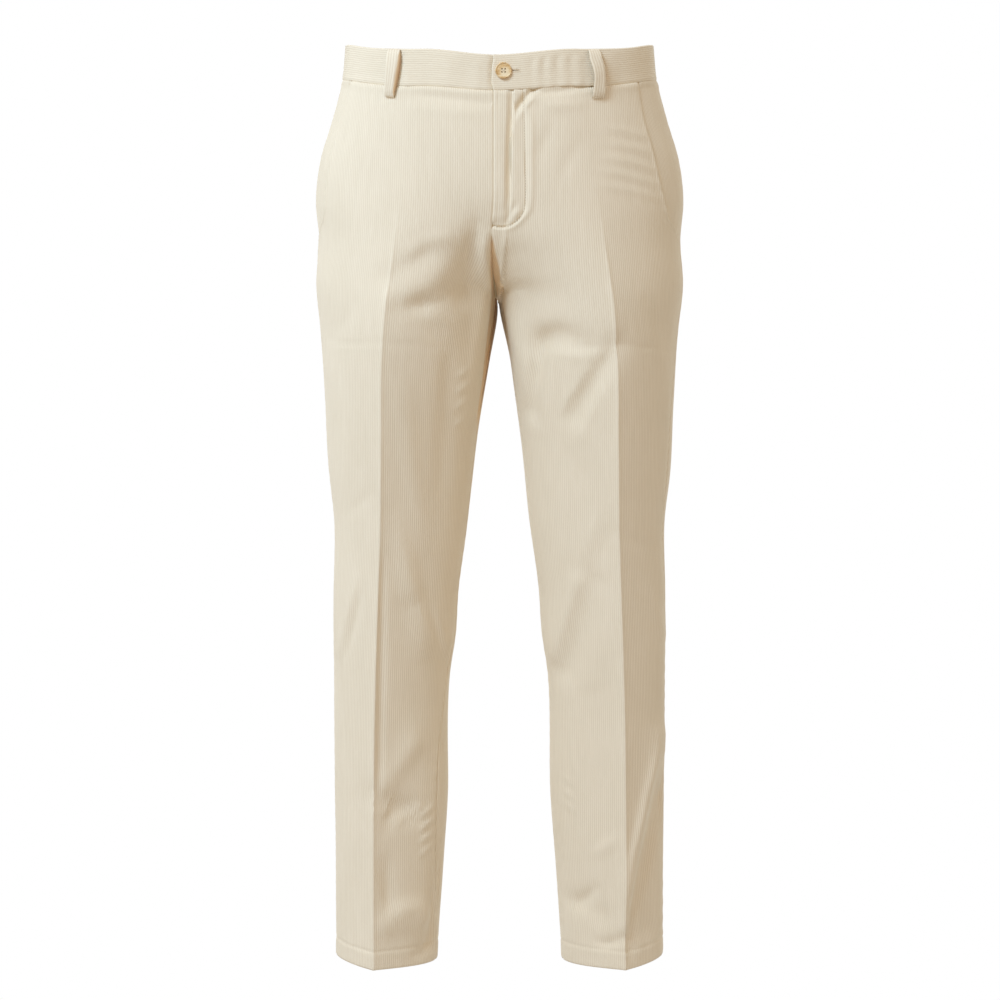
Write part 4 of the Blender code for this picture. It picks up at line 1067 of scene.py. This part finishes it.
def waistband(side):
    """Half of the band, from the front lap to the centre back; the right half tucks under.
    Its section is an ellipse's quarter at the top edge and at both ends."""
    lines, rib = (values[2:-3] for values in round_ribs(BAND_RIBS))
    rows = np.concatenate([[0.02, 0.18, 0.45, 0.8], lines * BAND_WALE])
    rib = np.concatenate([[0, 0, 0, 0.05], rib * BAND_RISE])
    half = Half(side, rows)
    depth = rows[:, None]
    wave = 0.9 * np.sin(rows / 6.5 + 0.6) + 0.4 * np.sin(rows / 3.1)
    edge = side * (BAND_EDGE_X + wave - along(DRIFT, "front", rows)) + SEAM_GAP / 2
    start = edge if side > 0 else edge - BAND_LAP
    end = half.back - SEAM_GAP / 2
    count = int(round((end - start).mean() / BAND_COLUMN))
    near = np.array([0.0, 0.0006, 0.0016, 0.003])
    part = np.concatenate([near, np.linspace(0, 1, count + 1)[1:-1], 1 - near[::-1]])
    rounded = np.sqrt(1 - np.clip(1 - depth / BAND_ROUNDING, 0, 1) ** 2)
    across = depth / BAND_WALE * WALE + WALE / 2
    grids, maps = [], []
    for parts, outside in ((part, True), (part[::2], False)):
        s = between(start, end, parts)
        points, normals = half.surface(s)
        if side < 0:
            beyond = s - edge[:, None]
            risen = 0.55 * smooth((beyond + 0.4) / 1.6) + 0.45 * smooth(beyond / BAND_STEP)
            sunk = -UNDER_BAND * (1 - risen)
        else:
            sunk = 0.5 * bell(s - start[:, None] - 2.2, 2.0)
        front = points[..., 1] < 0
        x = points[..., 0] * side
        ripple = sum(rise * bell(x - place, width) for place, width, rise in RIPPLES) * front
        ripple *= smooth((depth - 3) / 12) * (0.95 + 0.5 * np.sin(depth / 11 + x / 40))
        sag = 0.35 * np.sin(x / 27) * np.sin(depth / 14 + x / 33)
        middle = sunk + (ripple + sag) * smooth(depth / 8) - BAND_CLOTH / 2
        ends = np.minimum(s - start[:, None], end[:, None] - s)
        closed = np.sqrt(1 - np.clip(1 - ends / 1.2, 0, 1) ** 2) * 0.7 + 0.3
        wall = BAND_CLOTH / 2 * rounded * closed
        if outside:
            slit = smooth((x - SLIT_X[0]) / 1.5) * smooth((SLIT_X[1] - x) / 3) * (side > 0)
            from_slit = depth - BUTTON_DEPTH
            slit *= front * (SLIT_DEPTH * bell(from_slit, 0.8) - 0.5 * bell(from_slit, 2.6))
            height = middle + wall + rib[:, None] * smooth(ends / 1.5) * rounded
            height -= BAND_SEAM * bell(BAND_DEPTH - depth, SEAM_DIP_WIDTH) + slit
        else:
            height = middle - wall
        low = np.where(front, smooth((points[..., 0] - 105) / 55), 1.0)
        worn = stacked(0.0, 0.0, -BAND_SAG * low * (1 - depth / BAND_DEPTH))
        grids.append((points + height[..., None] * normals + worn) * (side, 1, 1) * MM)
        maps.append(stacked(across, s))
    name = f"waistband_{half.hand}"
    mesh = cloth_shell(name, grids, maps, side < 0)
    piece = placed(name + "_cloth", mesh, BAND_FINISH)
    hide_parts(name)


waistband(-1)
waistband(1)


# ------------------------------------------------------------------ belt loops
# Five folded strips of corduroy, their ribs lengthwise, sewn to the band's top edge and
# below its seam and bowed out between. Wear has twisted the front ones a little.

LOOP_CLOTH = 1.8
LOOP_TOP_DEPTH = 1.5
LOOP_LENGTH = 57.0
LOOP_STAND_OFF = 9.6
LOOP_SEAT = 0.4
LOOP_BOW = 0.45
LOOP_RIBS = 5
LOOP_RIB_RISE = 0.32
LOOP_BEND = 5.5
LOOP_ROWS = 44
LOOP_TACK = 3.2
SIDE_LOOP_BACK = 46.0
LOOP_FINISH = corduroy("loop_corduroy", streak=0.08, mottle=0.06)

# Shift sideways, width and twist down each loop, and how wide an edge of it is bent in on
# the side away from the window, which is the wearer's left; that bent-in edge also gets
# painted shade
LEFT_LOOP = columns("depth shift width twist bent", [
    (0, -5.6, 13.4, 0.6, 0), (6, -5, 13.8, 1, 0), (12, -4, 15, 1.2, 1.4),
    (22, -1.2, 16.2, -0.4, 2), (34, 0.6, 15.8, -1.2, 2), (46, 0.6, 15.6, -0.6, 1.8),
    (53, 0.4, 15.2, 0, 0.8), (60, 0.2, 14.8, 0.3, 0),
])
RIGHT_LOOP = columns("depth shift width twist bent", [
    (0, -5.4, 15.4, 0.3, 0), (4, -6.2, 15.8, 0.5, 0.4), (10, -6.8, 16, 0.8, 1.6),
    (22, -6.6, 15, 1.2, 2.2), (32, -5.6, 14, 0.8, 2.5), (44, -3.4, 13, 0.4, 2),
    (54, -1, 11.8, 0, 1.2), (60, 0.2, 11.2, -0.2, 0.3),
])
PLAIN_LOOP = columns("depth shift width twist bent", [
    (0, 0, 12.5, 0.2, 0), (20, 0.5, 12.2, 0.8, 0), (40, -0.4, 12.4, -0.6, 0), (60, 0, 12.6, 0, 0),
])


def belt_loop(name, side, place, lie):
    """A strip over the band: its stand-off is a low power of a half sine, its section is
    ribbed outside, rounded at both long edges and bent in along one, with painted shade on
    that bent-in edge, its ends pressed flat."""
    down = np.linspace(0, 1, LOOP_ROWS + 1)[:, None]
    half = Half(side, LOOP_TOP_DEPTH + LOOP_LENGTH * down[:, 0])
    depth = half.depths
    shift, width, twist, bent = (
        along(lie, column, depth)[:, None] for column in ("shift", "width", "twist", "bent")
    )
    sewn_down = LOOP_SEAT + LOOP_CLOTH
    arch = np.sin(np.pi * down)
    stand = sewn_down + (LOOP_STAND_OFF - sewn_down) * np.abs(arch) ** LOOP_BOW
    lines, rib = round_ribs(LOOP_RIBS)
    u = np.concatenate([[0.0, 0.006, 0.02], lines[1:] / LOOP_RIBS, [0.98, 0.994, 1.0]]) - 0.5
    rib = np.concatenate([[0, 0.2, 0.5], rib[1:], [0.5, 0.2, 0]]) * LOOP_RIB_RISE
    lengths = (place(half) + shift[:, 0])[:, None] + width * u
    rounding = LOOP_CLOTH / 2 * (1 - np.sqrt(1 - np.abs(2 * u) ** 7))
    from_ends = down * LOOP_LENGTH, (1 - down) * LOOP_LENGTH
    pressed = 0.5 * sum(bell(off, 2.0) + bell(off - LOOP_TACK, 1.1) for off in from_ends)
    # into is the bent-in edge: it bends the strip, and as painted shade it also darkens that
    # edge's colour
    into = smooth((bent - width * (0.5 - side * u)) / (bent + 1.0) + 0.15) * (bent > 0.05)
    into = into * np.clip(bent / 1.5, 0, 1)
    middle = stand + twist * 2 * u * arch - LOOP_BEND * into * (stand - sewn_down) / 8
    outer = half.at(lengths, middle - rounding + rib - pressed)
    inner = half.at(lengths, middle - LOOP_CLOTH + rounding)
    uv = stacked((u + 0.5) * LOOP_RIBS * WALE + WALE / 2, depth[:, None])
    mesh = cloth_shell(name, (outer, inner), (uv, uv), side < 0, folded=into)
    piece = placed(name + "_strip", mesh, LOOP_FINISH)
    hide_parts(name)


belt_loop("belt_loop_front_right", -1, lambda half: half.length_at_x(123), RIGHT_LOOP)
belt_loop("belt_loop_front_left", 1, lambda half: half.length_at_x(110), LEFT_LOOP)
belt_loop("belt_loop_side_right", -1, lambda half: half.widest + SIDE_LOOP_BACK, PLAIN_LOOP)
belt_loop("belt_loop_side_left", 1, lambda half: half.widest + SIDE_LOOP_BACK, PLAIN_LOOP)
belt_loop("belt_loop_back", 1, lambda half: half.back, PLAIN_LOOP)


# ------------------------------------------------------------------ stitching
# Cream cotton thread: the curved row that holds the fly's facing to the left front.

STITCH_LENGTH = 2.3
STITCH_PITCH = 3.1
STITCH_THICK = 0.42
STITCH_SUNK = -0.85
STITCH_PARTS = 20


def thread_finish(name, colour):
    """Twisted thread: fine slanted bands of darker colour, with a soft sheen."""
    made, tree, shader = new_finish(name)
    wave = add(tree, "TexWave", {
        "Vector": add(tree, "TexCoord", {})["Object"], "Scale": 900.0, "Distortion": 1.5,
    }, bands_direction="DIAGONAL")["Fac"]
    bump = add(tree, "Bump", {"Distance": 0.0001, "Height": wave})
    dark = tuple(0.72 * channel for channel in colour)
    feed(tree, shader, {
        "Base Color": ramp(tree, wave, (0, dark), last=(1, colour)),
        "Normal": bump["Normal"], "Roughness": 0.6, "Sheen Weight": 0.2,
    })
    return made


def capsules(name, first, second, outward, thick):
    """Short rounded threads as one mesh: each is a tube whose radius is a half ellipse along
    it, from its first end to its second, bowed out a little in the middle."""
    t = np.linspace(0, 1, 7)
    angle = np.linspace(0, 2 * np.pi, 9)[:-1, None]
    radius = thick / 2 * np.sqrt(np.clip(1 - (2 * t - 1) ** 4, 0.002, 1))
    run = second - first
    way = run / np.linalg.norm(run, axis=-1, keepdims=True)
    side = np.cross(way, outward)
    side /= np.linalg.norm(side, axis=-1, keepdims=True)
    up = np.cross(side, way)[:, None, :]
    spine = first[:, None, :] + run[:, None, :] * t[:, None]
    spine = spine + up * (thick * 0.5 * np.sin(np.pi * t))[:, None]
    ring = np.cos(angle) * side[:, None, :] + np.sin(angle) * up
    points = spine[:, :, None, :] + radius[:, None, None] * ring[:, None, :, :]
    corner = np.arange(points.size // 3).reshape(points.shape[:-1])
    turned = np.roll(corner, -1, axis=2)
    sides = np.stack([corner[:, :-1], turned[:, :-1], turned[:, 1:], corner[:, 1:]], -1)
    faces = sides.reshape(-1, 4).tolist() + corner[:, 0, ::-1].tolist() + corner[:, -1].tolist()
    mesh = bpy.data.meshes.new(name)
    mesh.from_pydata(points.reshape(-1, 3).tolist(), [], faces)
    mesh.shade_smooth()
    return mesh


def on_front(x, z, lift):
    """World points and normals on the left front where front-view X and Z are these: the
    depth comes from coarse rings, and the place from the two close rings beside it."""
    rings = Half(1, np.linspace(2, 260, 130))
    first, last = OVERRUN_STEPS // 2, OVERRUN_STEPS + 2 * ARC_STEPS
    spots = rings.points[:, first:last]
    heights = np.array([np.interp(x, row[:, 0], row[:, 2]) for row in spots])
    depths = np.array([np.interp(-one, -down, rings.depths) for one, down in zip(z, heights.T)])
    near = Half(1, np.linspace(depths.min() - 1, depths.max() + 1, 60))
    lengths = np.array([
        np.interp(depth, near.depths, near.length_at_x(one)) for depth, one in zip(depths, x)
    ])
    row = np.clip(np.searchsorted(near.depths, depths), 1, len(near.depths) - 1)
    above, below = near.depths[row - 1], near.depths[row]
    share = ((depths - above) / (below - above))[:, None]
    points, normals = (
        near.read(of, lengths, row - 1) * (1 - share) + near.read(of, lengths, row) * share
        for of in (near.points, near.normals)
    )
    return (points + lift * normals) * MM, normals


thread = thread_finish("cream_thread", (0.62, 0.50, 0.34))
run = np.linalg.norm(np.diff(J_CURVE, axis=0), axis=1).sum()
fine = curve_through(J_LINE, int(run / STITCH_PITCH) * STITCH_PARTS + 1)
second = fine[2 + int(STITCH_PARTS * STITCH_LENGTH / STITCH_PITCH)::STITCH_PARTS]
first = fine[2:-STITCH_PARTS:STITCH_PARTS][: len(second)]
count = len(first)
spots, facing = on_front(*np.concatenate([first, second[:count]]).T, STITCH_SUNK)
mesh = capsules("fly_stitching", spots[:count], spots[count:], facing[:count],
                STITCH_THICK * MM)
placed("fly_stitching", mesh, thread)


# ------------------------------------------------------------------ button
# A turned four-hole button of tan horn or horn-like resin, sewn through its holes. It stays
# closed in a buttonhole that is worked with pale thread in the end of the left band.

BUTTON_X = 4.5
BUTTON_THICKNESS = 3.4
BUTTON_DISH = 1.0
BUTTON_HOLE_OFFSET = 1.75
BUTTON_SEAT = 0.35
BUTTON_THREAD = 0.42
SLIT_LIP = (0.35, 1.75)
SLIT_THREAD = 0.5
SLIT_LIFT = 0.35
SLIT_PITCH = 0.62

around = Half(1, BUTTON_DEPTH + np.array([-1.0, 0.0, 1.0]))
middle = around.length_at_x(BUTTON_X)[:, None]
seat = around.at(middle, BUTTON_SEAT)[1, 0]
outward = around.at(middle, BUTTON_SEAT + BUTTON_THICKNESS)[1, 0] - seat
outward /= np.linalg.norm(outward)
turn = np.array(Vector(outward).to_track_quat("Z", "Y").to_matrix())
right, upward = turn[:, 0], turn[:, 1]

# Horn: streaked and cloudy across, paler in the dish, finely scratched
horn, tree, shader = new_finish("tan_horn")
place = add(tree, "TexCoord", {})["Object"]
streaks = add(tree, "Mapping", {
    "Vector": place, "Rotation": (0, 0.5, 0), "Scale": (90, 90, 260),
})
cloud = add(tree, "TexNoise", {
    "Vector": streaks["Vector"], "Scale": 1.0, "Detail": 4.0, "Distortion": 0.8,
})
tan = ramp(tree, cloud["Fac"], (0.28, (0.52, 0.29, 0.10)), (0.46, (0.74, 0.49, 0.22)),
           last=(0.66, (0.86, 0.68, 0.42)))
dish_centre = seat + (outward * BUTTON_THICKNESS + (right - upward) * 1.6) * MM
centred = add(tree, "Mapping", {"Vector": place, "Location": tuple(-dish_centre)})
far = add(tree, "VectorMath", {0: centred["Vector"]}, operation="LENGTH")
dish = add(tree, "MapRange", {
    "Value": far["Value"], "From Min": 3.2 * MM, "From Max": 7.6 * MM,
    "To Min": 0.75, "To Max": 0.0,
}, interpolation_type="SMOOTHSTEP")
paler = add(tree, "Mix", {0: dish["Result"], 6: tan, 7: (0.90, 0.76, 0.52, 1)}, data_type="RGBA")
scratch = add(tree, "TexNoise", {"Vector": place, "Scale": 1400.0})
bump = add(tree, "Bump", {"Strength": 0.3, "Distance": 0.00008, "Height": scratch["Fac"]})
feed(tree, shader, {
    "Base Color": paler[2], "Normal": bump["Normal"], "Roughness": 0.32,
    "Coat Weight": 0.3, "Coat Roughness": 0.2,
})
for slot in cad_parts["button"].material_slots:
    slot.material = horn

pale_thread = thread_finish("pale_thread", (0.92, 0.76, 0.54))
face = seat + outward * (BUTTON_THICKNESS - BUTTON_DISH - 0.1) * MM
first, second = [], []
for column in (-1, 1):
    for strand in (-0.14, 0.14):
        beside = (right * -column + upward) * strand
        reach = (right * column + upward) * (BUTTON_HOLE_OFFSET + 0.1)
        first.append(face + (beside + reach) * MM)
        second.append(face + (beside - reach) * MM)
mesh = capsules("button_thread", np.array(first), np.array(second),
                np.array([outward] * len(first)), BUTTON_THREAD * MM)
placed("button_thread", mesh, pale_thread)

# The buttonhole's worked edge: short threads across each lip of the slit, past the button
slit_x = np.arange(13.2, 23.4, SLIT_PITCH)
slit_z = seat[2] / MM + np.zeros(len(slit_x))
(upper_in, facing), (upper_out, _), (lower_in, _), (lower_out, _) = (
    on_front(slit_x, slit_z + lip * way, SLIT_LIFT) for way in (1, -1) for lip in SLIT_LIP
)
mesh = capsules(
    "buttonhole_stitches", np.concatenate([upper_in, lower_in]),
    np.concatenate([upper_out, lower_out]), np.concatenate([facing, facing]), SLIT_THREAD * MM,
)
placed("buttonhole_stitches", mesh, pale_thread)


# ------------------------------------------------------------------ stage
# A plain pale floor far below the hems, soft light from the viewer's left and front, and
# the camera where the photograph was taken. The camera sees floor and world as plain white.


def white_to_camera(tree, name, shader, kind):
    """Puts plain white in the shader's place for the camera alone."""
    white = add(tree, kind, {"Color": (1, 1, 1, 1), "Strength": 1.0})
    seen = add(tree, "LightPath", {})["Is Camera Ray"]
    either = add(tree, "MixShader", {0: seen, 1: shader.outputs[0], 2: white[0]})
    feed(tree, tree.nodes[name], {"Surface": either[0]})


floor_mesh = bpy.data.meshes.new("floor")
angle = np.linspace(0, 2 * np.pi, 65)[:-1]
disc = stacked(14 * np.cos(angle), 14 * np.sin(angle), -1.45)
floor_mesh.from_pydata(disc.tolist(), [], [list(range(64))])
floor_finish, tree, shader = new_finish("pale_floor")
feed(tree, shader, {"Base Color": (0.62, 0.60, 0.58, 1), "Roughness": 1.0})
white_to_camera(tree, "Material Output", shader, "Emission")
floor_mesh.materials.append(floor_finish)
floor = shown("floor", floor_mesh)

world = bpy.data.worlds.new("soft_studio")
bpy.context.scene.world = world
world.use_nodes = True
fill = world.node_tree.nodes["Background"]
feed(world.node_tree, fill, {"Color": (1.0, 0.825, 0.65, 1), "Strength": 0.64})
white_to_camera(world.node_tree, "World Output", fill, "Background")

aim = Vector((0.0, 0.0, -0.5))
for name, place, size, power, colour in (
    ("key", (-1.42, -2.03, 1.6), 1.2, 77.0, (0.55, 0.76, 1.0)),
    ("rim", (-3.12, 0.84, 0.5), 1.4, 25.5, (0.56, 0.77, 1.0)),
    ("far_rim", (3.03, 1.10, 0.5), 1.4, 12.0, (0.40, 0.78, 1.0)),
    ("back", (1.8, 3.4, 1.2), 2.2, 60.0, (0.60, 0.80, 1.0)),
):
    data = bpy.data.lights.new(name, "AREA")
    data.size, data.energy, data.color = size, power, colour
    lamp = shown(name, data)
    lamp.location = place
    lamp.rotation_euler = (aim - Vector(place)).to_track_quat("-Z", "Y").to_euler()
bpy.context.scene.view_settings.view_transform = "Standard"

camera_data = bpy.data.cameras.new("camera")
camera_data.lens = 92.2
camera_data.sensor_width = 36.0
camera_data.dof.use_dof = False
camera = shown("camera", camera_data)
camera.location = (0.0006, -3.0, -0.3785)
camera.rotation_euler = (np.radians(90 - 2.92), 0, 0)
bpy.context.scene.camera = camera
